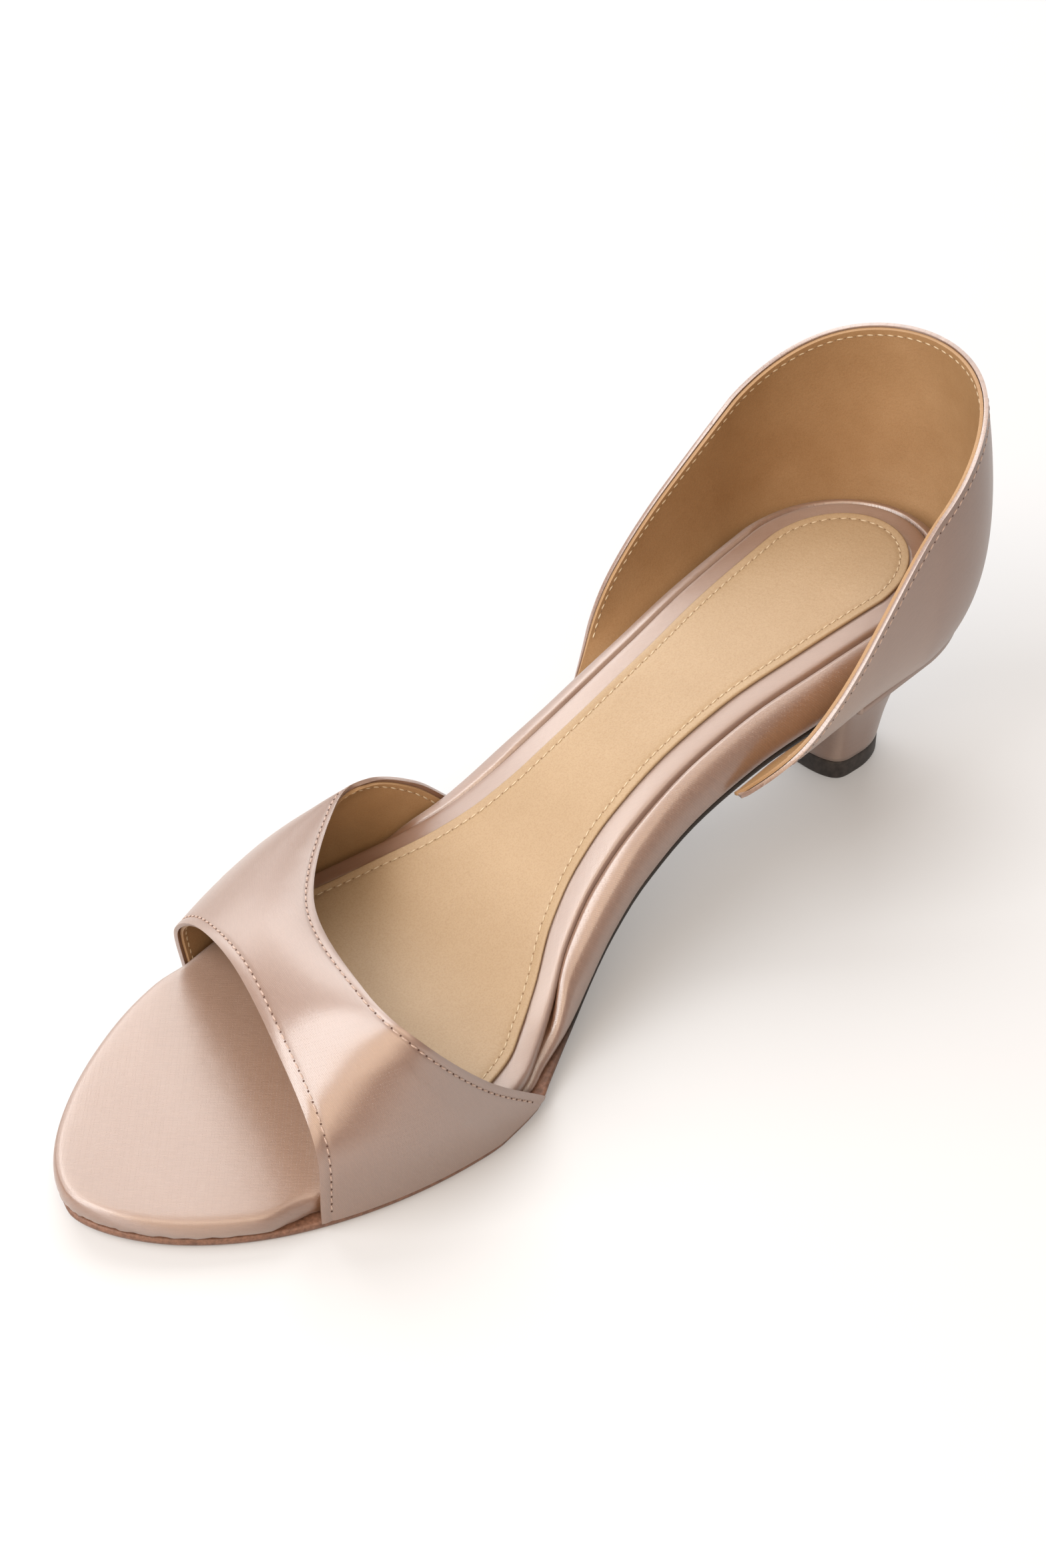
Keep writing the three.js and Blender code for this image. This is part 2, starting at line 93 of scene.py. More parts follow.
SPINE_REACH = 30
SOLE_TUCK = 0.6
SOLE_TUCK_FROM = 92
SOLE_TUCK_TO = 112
SOLE_STATIONS = 180
SOLE_END_CORNER = 0.02
SOLE_END_CLEAR = 1
SOLE_BROWN = ((0.10, 0.045, 0.026), (0.27, 0.135, 0.085))
SOLE_BLACK = ((0.007, 0.005, 0.004), (0.026, 0.017, 0.013))
SOLE_FIBRE_DEPTH = 0.05
BLACKENS_FROM = 88
BLACKENS_TO = 104
UNDERSIDE_SHARES = (1, 0.5)
TOPSIDE_SHARES = (0.35, 0.7, 1)
WELD = 0.01
# u, height of the footbed's top
BED_PROFILE = [
    (0, 10.3),
    (12, 8.9),
    (30, 8.2),
    (72, 8.2),
    (84, 8.9),
    (92, 10.6),
    (100, 14.2),
    (110, 20.8),
    (120, 28),
    (130, 34.3),
    (150, 42.8),
    (175, 49.3),
    (205, 54),
    (240, 57.6),
]
# u, medial half width, lateral half width
SOLE_WAIST = [
    (74, 41.8, 41.4),
    (86, 39.8, 41.7),
    (92, 36.6, 40.9),
    (100, 32.7, 38.4),
    (110, 28.6, 33.4),
    (120, 25.7, 28.6),
    (130, 24, 25.1),
    (146, 22.9, 22.9),
    (162, 23.5, 23.3),
    (182, 25.6, 25),
    (206, 27, 26.6),
]
# inset from the outline, share of the thickness
OUTSOLE_EDGE = [
    (5, 0),
    (1.4, 0),
    (0.8, 0.06),
    (0.35, 0.22),
    (0.1, 0.45),
    (0, 0.68),
    (0.08, 0.86),
    (0.3, 0.97),
    (0.7, 1),
    (4, 1),
]


def lerp(a, b, share):
    return a + (b - a) * share


def smoothstep(x, low, high):
    share = min(max((x - low) / (high - low), 0), 1)
    return share * share * (3 - 2 * share)


def curve_through(rows):
    """A smooth curve through (position, value) rows that stays between neighbouring values."""
    places = [row[0] for row in rows]
    values = [row[1] for row in rows]
    last = len(rows) - 1
    steps = [places[k + 1] - places[k] for k in range(last)]
    slopes = [(values[k + 1] - values[k]) / steps[k] for k in range(last)]
    tangents = [slopes[0]]
    for k in range(1, last):
        before = 2 * steps[k] + steps[k - 1]
        after = steps[k] + 2 * steps[k - 1]
        turning = slopes[k - 1] * slopes[k] <= 0
        tangents.append(0 if turning else (before + after) / (before / slopes[k - 1] + after / slopes[k]))
    tangents.append(slopes[-1])

    def value_at(position):
        p = min(max(position, places[0]), places[-1])
        k = 0
        while k < last - 1 and p > places[k + 1]:
            k += 1
        t = (p - places[k]) / steps[k]
        rise = values[k + 1] - values[k]
        start = tangents[k] * steps[k]
        end = tangents[k + 1] * steps[k]
        return values[k] + t * (start + t * (3 * rise - 2 * start - end + t * (start + end - 2 * rise)))

    return value_at


bed_top = curve_through(BED_PROFILE)


def outsole_top(u):
    climb = smoothstep(bed_top(u) - bed_top(FOREFOOT_MIDDLE), 0, WAIST_CLIMB)
    return bed_top(u) - lerp(STACK_FOREFOOT, STACK_WAIST, climb)


def outsole_bottom(u):
    thin = smoothstep(u, SOLE_THINS_FROM, SOLE_THINS_TO)
    return outsole_top(u) - lerp(OUTSOLE_FOREFOOT, OUTSOLE_WAIST, thin)


def both_sides(rows):
    """One curve for each side of the foot through (u, medial, lateral) rows."""
    return {
        MEDIAL: curve_through([(u, medial) for u, medial, lateral in rows]),
        LATERAL: curve_through([(u, lateral) for u, medial, lateral in rows]),
    }


def side_edges(rows, end):
    """Half widths behind the ball on each side, closed by a half ellipse round the heel seat."""
    half = both_sides(rows)

    def edge(side, u):
        past = max(u - SEAT_CENTRE, 0) / (end - SEAT_CENTRE)
        return half[side](min(u, SEAT_CENTRE)) * math.sqrt(max(1 - past * past, 0))

    return edge


def toe_edge(side, u):
    before_ball = 1 - min(max(u, 0) / BALL_BACK[side], 1)
    return BALL_HALF[side] * (1 - before_ball**2) ** TOE_FULLNESS + side * TIP_Y


sole_waist = side_edges(SOLE_WAIST, BOARD_END)


def sole_edge(side, u):
    return toe_edge(side, u) if u < JOIN else sole_waist(side, u)


def stations(start, end, count):
    """Distances along a length, close together at both ends, where outlines turn."""
    return [start + (end - start) * (1 - math.cos(math.pi * k / count)) / 2 for k in range(count + 1)]


def outline(along, edge):
    """A closed outline: tip of the toe, back along the medial side, forward along the lateral side."""
    front = along[0]
    back = along[-1]
    medial = [(u, edge(MEDIAL, u)) for u in along[1:-1]]
    lateral = [(u, -edge(LATERAL, u)) for u in reversed(along[1:-1])]
    tip = (front, (edge(MEDIAL, front) - edge(LATERAL, front)) / 2)
    heel = (back, (edge(MEDIAL, back) - edge(LATERAL, back)) / 2)
    return [tip, *medial, heel, *lateral]


def middle_line(points, edge, reach):
    """The place on the middle line for each point of an outline; the line stops short of both ends."""
    front = points[0][0] + reach
    back = points[len(points) // 2][0] - reach
    line = []
    for u, y in points:
        middle_u = min(max(u, front), back)
        line.append((middle_u, (edge(MEDIAL, middle_u) - edge(LATERAL, middle_u)) / 2))
    return line


def gathered(points, middle, share):
    """The outline drawn by a share of the way to its middle line."""
    return [(lerp(u, to_u, share), lerp(y, to_y, share)) for (u, y), (to_u, to_y) in zip(points, middle)]


def drawn_in(points, middle, distances):
    """The outline moved towards its middle line, by one distance for all points or by one for each."""
    count = len(points)
    moved = []
    for k, (u, y) in enumerate(points):
        distance = distances[k] if isinstance(distances, list) else distances
        along_u = points[(k + 1) % count][0] - points[k - 1][0]
        along_y = points[(k + 1) % count][1] - points[k - 1][1]
        in_u = middle[k][0] - u
        in_y = middle[k][1] - y
        depth = (in_u * along_y - in_y * along_u) / math.hypot(along_u, along_y)
        moved.append((u + in_u * distance / depth, y + in_y * distance / depth))
    return moved


def place(u, y, z):
    return Vector((TOE_X - u, y + AXIS_Y, z)) * MM


def add_piece(name, shape, slot, *nodes):
    """A finished mesh as an object that rides with the sandal and stands for the named solids."""
    mesh = bpy.data.meshes.new(name)
    shape.to_mesh(mesh)
    shape.free()
    for face in mesh.polygons:
        face.use_smooth = True
    piece = bpy.data.objects.new(name, mesh)
    bpy.context.scene.collection.objects.link(piece)
    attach(piece, "root")
    if nodes:
        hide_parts(*nodes)
    return piece


def skin_through(rings, cloth):
    """A closed skin drawn from ring to ring by extruding one loop, and each ring's place on flat cloth."""
    shape = bmesh.new()
    around = shape.verts.layers.int.new("around")
    level = shape.verts.layers.int.new("level")
    weave = shape.loops.layers.uv.new("weave")
    bmesh.ops.create_circle(shape, cap_ends=False, segments=len(rings[0]), radius=1)
    for k, vert in enumerate(shape.verts):
        vert[around] = k
        vert.co = rings[0][k]
    edges = shape.edges[:]
    for r, ring in enumerate(rings[1:], start=1):
        drawn = bmesh.ops.extrude_edge_only(shape, edges=edges)["geom"]
        edges = [part for part in drawn if isinstance(part, bmesh.types.BMEdge)]
        for part in drawn:
            if isinstance(part, bmesh.types.BMVert):
                part[level] = r
                part.co = ring[part[around]]
    for face in shape.faces:
        for corner in face.loops:
            u, y = cloth[corner.vert[level]][corner.vert[around]]
            corner[weave].uv = (u * MM, y * MM)
    bmesh.ops.remove_doubles(shape, verts=shape.verts, dist=WELD * MM)
    bmesh.ops.recalc_face_normals(shape, faces=shape.faces)
    return shape


def slab(points, middle, profile, low, high):
    """A layer of the sole: its edge follows the profile, and both faces close along the middle line."""
    rings = []
    cloth = []
    under = drawn_in(points, middle, profile[0][0])
    for share in UNDERSIDE_SHARES:
        ring = gathered(under, middle, share)
        rings.append([place(u, y, low(u)) for u, y in ring])
        cloth.append(ring)
    for inset, up in profile:
        ring = drawn_in(points, middle, inset)
        rings.append([place(u, y, lerp(low(u), high(u), up)) for u, y in ring])
        cloth.append(ring)
    over = ring
    for share in TOPSIDE_SHARES:
        ring = gathered(over, middle, share)
        rings.append([place(u, y, high(u)) for u, y in ring])
        cloth.append(ring)
    return skin_through(rings, cloth)


def new_finish(name, **settings):
    """A material with its shader, whose even values are set on the shader's own sockets."""
    material = bpy.data.materials.new(name)
    material.use_nodes = True
    shader = material.node_tree.nodes["Principled BSDF"]
    for socket, value in settings.items():
        shader.inputs[socket.replace("_", " ")].default_value = value
    return material, shader


def node(material, kind, **settings):
    """A node of a material, with its settings, and its input values under their own names."""
    made = material.node_tree.nodes.new("ShaderNode" + kind)
    for name, value in settings.items():
        if hasattr(made, name):
            setattr(made, name, value)
        else:
            made.inputs[name.replace("_", " ")].default_value = value
    return made


def two_tones(material, factor, first, second, low, high):
    """A colour that goes from the first tone to the second as a factor goes from low to high."""
    ramp = node(material, "ValToRGB")
    ramp.color_ramp.elements[0].position = low
    ramp.color_ramp.elements[0].color = (*first, 1)
    ramp.color_ramp.elements[1].position = high
    ramp.color_ramp.elements[1].color = (*second, 1)
    material.node_tree.links.new(factor, ramp.inputs["Fac"])
    return ramp.outputs["Color"]


def raised(material, height, depth, below=None):
    """A bump of a real depth, in millimetres, laid over any bump below it."""
    bump = node(material, "Bump", Strength=1.0, Distance=depth * MM)
    material.node_tree.links.new(height, bump.inputs["Height"])
    if below:
        material.node_tree.links.new(below, bump.inputs["Normal"])
    return bump.outputs["Normal"]


def sole_leather_finish():
    """Sole leather: short fibres, brown under the forefoot and nearly black behind the ball."""
    material, shader = new_finish("brown_sole_leather", Roughness=0.55)
    link = material.node_tree.links.new
    place_in_shoe = node(material, "TexCoord").outputs["Object"]
    fibres = node(material, "TexNoise", Scale=900, Detail=4, Roughness=0.7)
    link(place_in_shoe, fibres.inputs["Vector"])
    brown = two_tones(material, fibres.outputs["Fac"], *SOLE_BROWN, 0.3, 0.75)
    black = two_tones(material, fibres.outputs["Fac"], *SOLE_BLACK, 0.3, 0.75)
    along = node(material, "SeparateXYZ")
    link(place_in_shoe, along.inputs["Vector"])
    blackening = node(material, "MapRange")
    blackening.inputs["From Min"].default_value = (TOE_X - BLACKENS_FROM) * MM
    blackening.inputs["From Max"].default_value = (TOE_X - BLACKENS_TO) * MM
    link(along.outputs["X"], blackening.inputs["Value"])
    tone = node(material, "Mix", data_type="RGBA")
    link(blackening.outputs["Result"], tone.inputs["Factor"])
    link(brown, tone.inputs["A"])
    link(black, tone.inputs["B"])
    link(tone.outputs["Result"], shader.inputs["Base Color"])
    link(raised(material, fibres.outputs["Fac"], SOLE_FIBRE_DEPTH), shader.inputs["Normal"])
    return material


def tucked_edge(side, u):
    return sole_edge(side, u) - SOLE_TUCK * smoothstep(u, SOLE_TUCK_FROM, SOLE_TUCK_TO)


square_end = OUTSOLE_END - SOLE_END_CORNER
sole_stations = stations(0, OUTSOLE_END * 2, SOLE_STATIONS)
sole_along = [u for u in sole_stations if u < square_end - SOLE_END_CLEAR]
sole_points = outline([*sole_along, square_end, OUTSOLE_END], tucked_edge)
sole_middle = middle_line(sole_points, sole_edge, SPINE_REACH)
outsole = add_piece(
    "sole_leather",
    slab(sole_points, sole_middle, OUTSOLE_EDGE, outsole_bottom, outsole_top),
    "sole_leather",
    "outsole",
)
outsole.data.materials.append(sole_leather_finish())


# Board: the insole board with its wedge, covered in satin. It starts under the ball and shows as the lower
# band of the waist and the heel seat, cemented on the outsole with a dark open line above and below.
BOARD_START = 74
BOARD_NOSE = 8
BED_END = 231
BED_WAIST = 3.4
BED_THINS_FROM = 62
BED_THINS_TO = 92
SATIN_SHADE = (0.132, 0.06, 0.034)
SATIN_LIGHT = (0.208, 0.105, 0.062)
FLOAT_LENGTH = 1.7
FLOAT_WIDTH = 0.3
FLOAT_GAP = 0.035
FLOAT_STAGGER = 0.38
SPARKLE_SHARE = 0.45
THREAD_DEPTH = 0.034
CLOUD_DEPTH = 0.10
BED_THREAD_TURN = 42
BOARD_STATIONS = 110
BOARD_SIDE_CLOTH = 8
BOARD_UNDER_CLOTH = 12
# u, medial half width, lateral half width
BOARD_WAIST = [
    (74, 37, 37),
    (86, 36.8, 38.4),
    (92, 34.6, 37.9),
    (100, 32, 35.4),
    (110, 28.2, 30.6),
    (120, 25.3, 26.2),
    (130, 23.6, 24),
    (146, 22.5, 22.5),
    (162, 23.1, 22.9),
    (182, 25.2, 24.6),
    (206, 26.6, 26.2),
]
# u, medial half width, lateral half width of the footbed that stands on the board
BED_WAIST_EDGE = [
    (74, 39.6, 39.3),
    (86, 36.2, 39.2),
    (92, 32.8, 37.2),
    (100, 28.2, 33),
    (110, 22.1, 25.9),
    (120, 18.8, 20.4),
    (130, 17.5, 17.7),
    (146, 16.8, 16.6),
    (162, 17.3, 17.2),
    (182, 19.4, 19.4),
    (206, 21.6, 21.4),
]
# inset from the outline, share of the thickness, below the shoulder
BOARD_FOOT = [
    (6, 0),
    (0.9, 0),
    (0.4, 0.035),
    (0.12, 0.1),
    (0, 0.24),
    (0, 0.38),
]
SHOULDER_FOOT = 0.38
SHOULDER_STEPS = 12
SHOULDER_CLEAR = 0.15
SHOULDER_SLANT = 0.93
NARROW_SHOULDER = 2.5
WIDE_SHOULDER = 4.5
SHOULDER_BELOW_BED = 0.7
SHOULDER_UNDER_BED = (0.05, 3)


def satin_finish(name, turn):
    """Blush satin, pressed smooth: long floats of thread, laid at a turn, with a gloss broad across them."""
    material, shader = new_finish(
        name,
        Roughness=0.41,
        IOR=1.95,
        Specular_IOR_Level=1.0,
        Anisotropic=0.95,
        Anisotropic_Rotation=(90 - turn) / 360,
        Coat_Weight=0.5,
        Coat_Roughness=0.24,
        Specular_Tint=(1, 0.97, 0.94, 1),
    )
    link = material.node_tree.links.new
    cloth = node(material, "UVMap", uv_map="weave")
    turned = node(material, "Mapping")
    turned.inputs["Rotation"].default_value = (0, 0, math.radians(-turn))
    link(cloth.outputs["UV"], turned.inputs["Vector"])
    floats = node(material, "TexBrick", offset=FLOAT_STAGGER, offset_frequency=2, squash=1)
    floats.inputs["Scale"].default_value = 1
    floats.inputs["Brick Width"].default_value = FLOAT_LENGTH * MM
    floats.inputs["Row Height"].default_value = FLOAT_WIDTH * MM
    floats.inputs["Mortar Size"].default_value = FLOAT_GAP * MM
    floats.inputs["Mortar Smooth"].default_value = 1
    floats.inputs["Color1"].default_value = (0.62, 0.62, 0.62, 1)
    floats.inputs["Color2"].default_value = (1, 1, 1, 1)
    floats.inputs["Mortar"].default_value = (0, 0, 0, 1)
    link(turned.outputs["Vector"], floats.inputs["Vector"])
    sparkle = node(material, "TexNoise", Scale=3200, Detail=2, Roughness=0.6)
    link(turned.outputs["Vector"], sparkle.inputs["Vector"])
    place_in_shoe = node(material, "TexCoord").outputs["Object"]
    clouds = node(material, "TexNoise", Scale=110, Detail=2, Roughness=0.45)
    link(place_in_shoe, clouds.inputs["Vector"])
    threads = node(material, "Mix", data_type="FLOAT")
    threads.inputs["Factor"].default_value = SPARKLE_SHARE
    link(floats.outputs["Color"], threads.inputs["A"])
    link(sparkle.outputs["Fac"], threads.inputs["B"])
    tone = two_tones(material, threads.outputs["Result"], SATIN_SHADE, SATIN_LIGHT, 0.1, 0.75)
    link(tone, shader.inputs["Base Color"])
    soft = raised(material, clouds.outputs["Fac"], CLOUD_DEPTH)
    woven = raised(material, threads.outputs["Result"], THREAD_DEPTH, soft)
    link(woven, shader.inputs["Normal"])
    link(woven, shader.inputs["Coat Normal"])
    along = node(material, "Tangent", direction_type="UV_MAP", uv_map="weave")
    link(along.outputs["Tangent"], shader.inputs["Tangent"])
    return material


def bed_thickness(u):
    return lerp(BED_FOREFOOT, BED_WAIST, smoothstep(u, BED_THINS_FROM, BED_THINS_TO))


board_waist = side_edges(BOARD_WAIST, BOARD_END)


def board_edge(side, u):
    before_full = 1 - min((u - BOARD_START) / BOARD_NOSE, 1)
    return board_waist(side, u) * math.sqrt(1 - before_full**2)


def board_low(u):
    return outsole_top(u) + GAP


def board_high(u):
    return bed_top(u) - bed_thickness(u) - GAP


bed_waist = side_edges(BED_WAIST_EDGE, BED_END)


def shoulder_width(side, u):
    """How far the board stands out beyond the footbed, square to its outline."""
    seat_u = min(u, SEAT_CENTRE)
    return (board_waist(side, seat_u) - bed_waist(side, seat_u)) * SHOULDER_SLANT - SHOULDER_CLEAR


def make_board():
    points = outline(stations(BOARD_START, BOARD_END, BOARD_STATIONS), board_edge)
    middle = middle_line(points, board_edge, SPINE_REACH)
    half = len(points) // 2
    widths = [shoulder_width(MEDIAL if k < half else LATERAL, u) for k, (u, y) in enumerate(points)]
    spans = [max(width, NARROW_SHOULDER) for width in widths]
    raises = [smoothstep(width, NARROW_SHOULDER, WIDE_SHOULDER) for width in widths]
    rings = []
    cloth = []
    under = drawn_in(points, middle, BOARD_FOOT[0][0])
    for share in UNDERSIDE_SHARES:
        ring = gathered(under, middle, share)
        rings.append([place(u, y, board_low(u)) for u, y in ring])
        cloth.append(drawn_in(points, middle, -BOARD_UNDER_CLOTH))
    for inset, up in BOARD_FOOT:
        ring = drawn_in(points, middle, inset)
        rings.append([place(u, y, lerp(board_low(u), board_high(u), up)) for u, y in ring])
        cloth.append(drawn_in(points, middle, (up - SHOULDER_FOOT) * BOARD_SIDE_CLOTH))
    for k in range(1, SHOULDER_STEPS + 1):
        angle = k / SHOULDER_STEPS * math.pi / 2
        ring = drawn_in(points, middle, [span * (1 - math.cos(angle)) for span in spans])
        row = []
        for (u, y), raise_share in zip(ring, raises):
            foot = lerp(board_low(u), board_high(u), SHOULDER_FOOT)
            top = lerp(board_high(u), bed_top(u) - SHOULDER_BELOW_BED, raise_share)
            row.append(place(u, y, lerp(foot, top, math.sin(angle))))
        rings.append(row)
        cloth.append(drawn_in(points, middle, [span * k / SHOULDER_STEPS for span in spans]))
    for further in SHOULDER_UNDER_BED:
        ring = drawn_in(points, middle, [span + further for span in spans])
        rings.append([place(u, y, board_high(u)) for u, y in ring])
        cloth.append(ring)
    over = ring
    for share in TOPSIDE_SHARES:
        ring = gathered(over, middle, share)
        rings.append([place(u, y, board_high(u)) for u, y in ring])
        cloth.append(ring)
    return skin_through(rings, cloth)


bed_satin = satin_finish("blush_bed_satin", BED_THREAD_TURN)
board = add_piece("covered_board", make_board(), "satin", "board")
board.data.materials.append(bed_satin)


# Footbed: a padded platform wrapped in satin, the whole length of the foot. The satin is pulled over a
# soft rounded edge and tucked under, with small puckers where it turns round the toe.
TOE_OVERHANG = 0.5
PUCKER_DEPTH = 0.16
PUCKER_END = 75
PUCKER_FADE = 40
PUCKER_WAVES = (2.1, 0.83, 3.7)
PUCKER_FULL_BELOW = 0.1
PUCKER_NONE_ABOVE = 0.5
BED_STATIONS = 150
BED_SIDE_CLOTH = 5
BED_TOP_SHARES = (0.12, 0.25, 0.4, 0.55, 0.7, 0.85, 1)
# u, medial margin, lateral margin of the footbed inside the sole's edge
TOE_MARGIN = [
    (0, -0.5, -0.5),
    (24, -0.5, -0.5),
    (35, 2.1, -0.4),
    (47, 2.2, 0.3),
    (57, 2.2, 2.1),
    (74, 2.2, 2.1),
]
# inset from the outline, share of the thickness, from the tuck underneath to the top
BED_EDGE = [
    (6, 0),
    (2.2, 0),
    (1.2, 0.02),
    (0.6, 0.07),
    (0.25, 0.16),
    (0.06, 0.28),
    (0, 0.42),
    (0.04, 0.55),
    (0.16, 0.67),
    (0.4, 0.78),
    (0.8, 0.868),
    (1.35, 0.922),
    (2.1, 0.95),
    (3.2, 0.966),
    (5, 0.981),
    (7.5, 0.992),
]

bed_margin = both_sides(TOE_MARGIN)


def bed_edge(side, u):
    if u >= JOIN:
        return bed_waist(side, u)
    return toe_edge(side, u + TOE_OVERHANG) - bed_margin[side](u)


def puckers(points, up):
    """How far the satin is pulled in at each point of the edge: uneven small tucks, low round the toe."""
    first, second, third = PUCKER_WAVES
    depths = []
    run = 0
    for k, (u, y) in enumerate(points):
        run += math.hypot(u - points[k - 1][0], y - points[k - 1][1])
        tuck = math.sin(run * first) * math.sin(run * second + 1) + 0.5 * math.sin(run * third + 2)
        fade = 1 - smoothstep(u, PUCKER_END - PUCKER_FADE, PUCKER_END)
        low = 1 - smoothstep(up, PUCKER_FULL_BELOW, PUCKER_NONE_ABOVE)
        depths.append(PUCKER_DEPTH * tuck * fade * low)
    return depths


def make_footbed():
    points = outline(stations(-TOE_OVERHANG, BED_END, BED_STATIONS), bed_edge)
    middle = middle_line(points, bed_edge, SPINE_REACH)
    thinness = [bed_thickness(u) / BED_FOREFOOT for u, y in points]
    rings = []
    cloth = []
    under = drawn_in(points, middle, BED_EDGE[0][0])
    for share in UNDERSIDE_SHARES:
        ring = gathered(under, middle, share)
        rings.append([place(u, y, bed_top(u) - bed_thickness(u)) for u, y in ring])
        cloth.append(ring)
    for inset, up in BED_EDGE:
        insets = [inset * thin + tuck for thin, tuck in zip(thinness, puckers(points, up))]
        ring = drawn_in(points, middle, insets)
        rings.append([place(u, y, bed_top(u) - bed_thickness(u) * (1 - up)) for u, y in ring])
        cloth.append(drawn_in(points, middle, inset - BED_SIDE_CLOTH * (1 - up)))
    over = ring
    for share in BED_TOP_SHARES:
        ring = gathered(over, middle, share)
        rings.append([place(u, y, bed_top(u)) for u, y in ring])
        cloth.append(ring)
    return skin_through(rings, cloth)


footbed = add_piece("padded_footbed", make_footbed(), "satin", "footbed")
footbed.data.materials.append(bed_satin)


# Sock: a tan leather inlay stuck on the footbed, its front cut slantwise under the strap. A stitched row
# runs close inside its edge: cream thread, with small brown spots of painted shade at the needle punctures.
SOCK_THICKNESS = 0.8
SOCK_MARGIN = 5.2
SOCK_FRONT_U = 47
SOCK_FRONT_Y = 28
SOCK_FRONT_SLOPE = 2.75
SOCK_CORNER = 9
SOCK_LIFT = 0.05
SOCK_REACH = 25
SOCK_STITCH_IN = 2
SOCK_TROUGH = 0.2
SOCK_TROUGH_HALF = 0.7
STITCH_PITCH = 2.2
STITCH_LENGTH = 1.5
THREAD_WIDTH = 0.4
THREAD_HEIGHT = 0.3
STITCH_SLANT = 7
HOLE_WIDTH = 0.44
HOLE_HEIGHT = 0.08
THREAD_LIFT = 0.2
SOCK_STATIONS = 130
SOCK_TONES = ((0.347, 0.24, 0.138), (0.378, 0.267, 0.159))
SOCK_GRAIN = 0.9
SOCK_GRAIN_DEPTH = 0.05
TAN_THREAD_TONES = ((0.42, 0.315, 0.195), (0.56, 0.45, 0.31))
# Painted shade for the needle punctures: flat dark grains on the leather, no real openings.
TAN_HOLE_SHADE_TONES = ((0.2, 0.12, 0.06), (0.26, 0.165, 0.085))
SOCK_UNDER_SHARES = (1, 0.5, 0.1)
SOCK_TOP_SHARES = (0.15, 0.35, 0.6, 0.8, 1)
# inset from the outline, share of the thickness
SOCK_SIDE = [(0.3, 0), (0.05, 0.2), (0, 0.5), (0.08, 0.85)]
# insets of the rings over the edge and the stitched trough
SOCK_INSETS = [0.3, 0.5, 0.8, 1.1, 1.4, 1.6, 1.8, 2, 2.2, 2.4, 2.6, 2.9, 3.3, 4.5]


def leather_finish(name, shade, light, grain, depth):
    """Soft tan leather: rounded grain with fine pores, and a cloudy colour."""
    material, shader = new_finish(name, Roughness=0.48, Specular_IOR_Level=0.4)
    link = material.node_tree.links.new
    place_in_shoe = node(material, "TexCoord").outputs["Object"]
    pebbles = node(material, "TexVoronoi", Scale=1000 / grain, feature="SMOOTH_F1", Smoothness=0.6)
    pores = node(material, "TexNoise", Scale=2600 / grain, Detail=3, Roughness=0.6)
    clouds = node(material, "TexNoise", Scale=45, Detail=4, Roughness=0.6)
    for texture in (pebbles, pores, clouds):
        link(place_in_shoe, texture.inputs["Vector"])
    tone = two_tones(material, clouds.outputs["Fac"], shade, light, 0.3, 0.7)
    pored = node(material, "Mix", data_type="RGBA", blend_type="MULTIPLY")
    pored.inputs["Factor"].default_value = 0.35
    dots = two_tones(material, pores.outputs["Fac"], (0.72, 0.62, 0.52), (1, 1, 1), 0.36, 0.56)
    link(tone, pored.inputs["A"])
    link(dots, pored.inputs["B"])
    link(pored.outputs["Result"], shader.inputs["Base Color"])
    grainy = raised(material, pebbles.outputs["Distance"], depth)
    link(raised(material, pores.outputs["Fac"], depth * 0.5, grainy), shader.inputs["Normal"])
    return material


def plain_finish(name, shade, light, scale, roughness, depth):
    """One colour with fine uneven tone and a fine surface, for thread, the painted shade of needle punctures
    and the top piece.
    """
    material, shader = new_finish(name, Roughness=roughness)
    link = material.node_tree.links.new
    specks = node(material, "TexNoise", Scale=scale, Detail=3)
    link(node(material, "TexCoord").outputs["Object"], specks.inputs["Vector"])
    tone = two_tones(material, specks.outputs["Fac"], shade, light, 0.3, 0.7)
    link(tone, shader.inputs["Base Color"])
    link(raised(material, specks.outputs["Fac"], depth), shader.inputs["Normal"])
    return material


def sewn_places(path, pitch, start):
    """Middle, direction and normal at an even pitch along a path of (point, normal) pairs."""
    found = []
    run = 0
    wanted = start
    for (a, normal), (b, after) in zip(path, path[1:]):
        step = (b - a).length
        while step and wanted <= run + step:
            found.append((a.lerp(b, (wanted - run) / step), (b - a).normalized(), normal))
            wanted += pitch
        run += step
    return found


def small_mounds(places, size, slant):
    """Flattened grains of one size, one at each place, turned a little from the line of sewing."""
    grain = bpy.data.meshes.new("grain")
    one = bmesh.new()
    bmesh.ops.create_uvsphere(one, u_segments=8, v_segments=6, radius=1)
    one.to_mesh(grain)
    one.free()
    shape = bmesh.new()
    for middle, ahead, normal in places:
        aside = normal.cross(ahead).normalized()
        up = ahead.cross(aside)
        axes = Matrix((ahead, aside, up)).transposed().to_4x4()
        turn = Matrix.Rotation(math.radians(slant), 4, "Z")
        grow = Matrix.Diagonal((size[0] * MM / 2, size[1] * MM / 2, size[2] * MM / 2, 1))
        matrix = Matrix.Translation(middle) @ axes @ turn @ grow
        laid = grain.copy()
        laid.transform(matrix)
        shape.from_mesh(laid)
        bpy.data.meshes.remove(laid)
    bpy.data.meshes.remove(grain)
    return shape


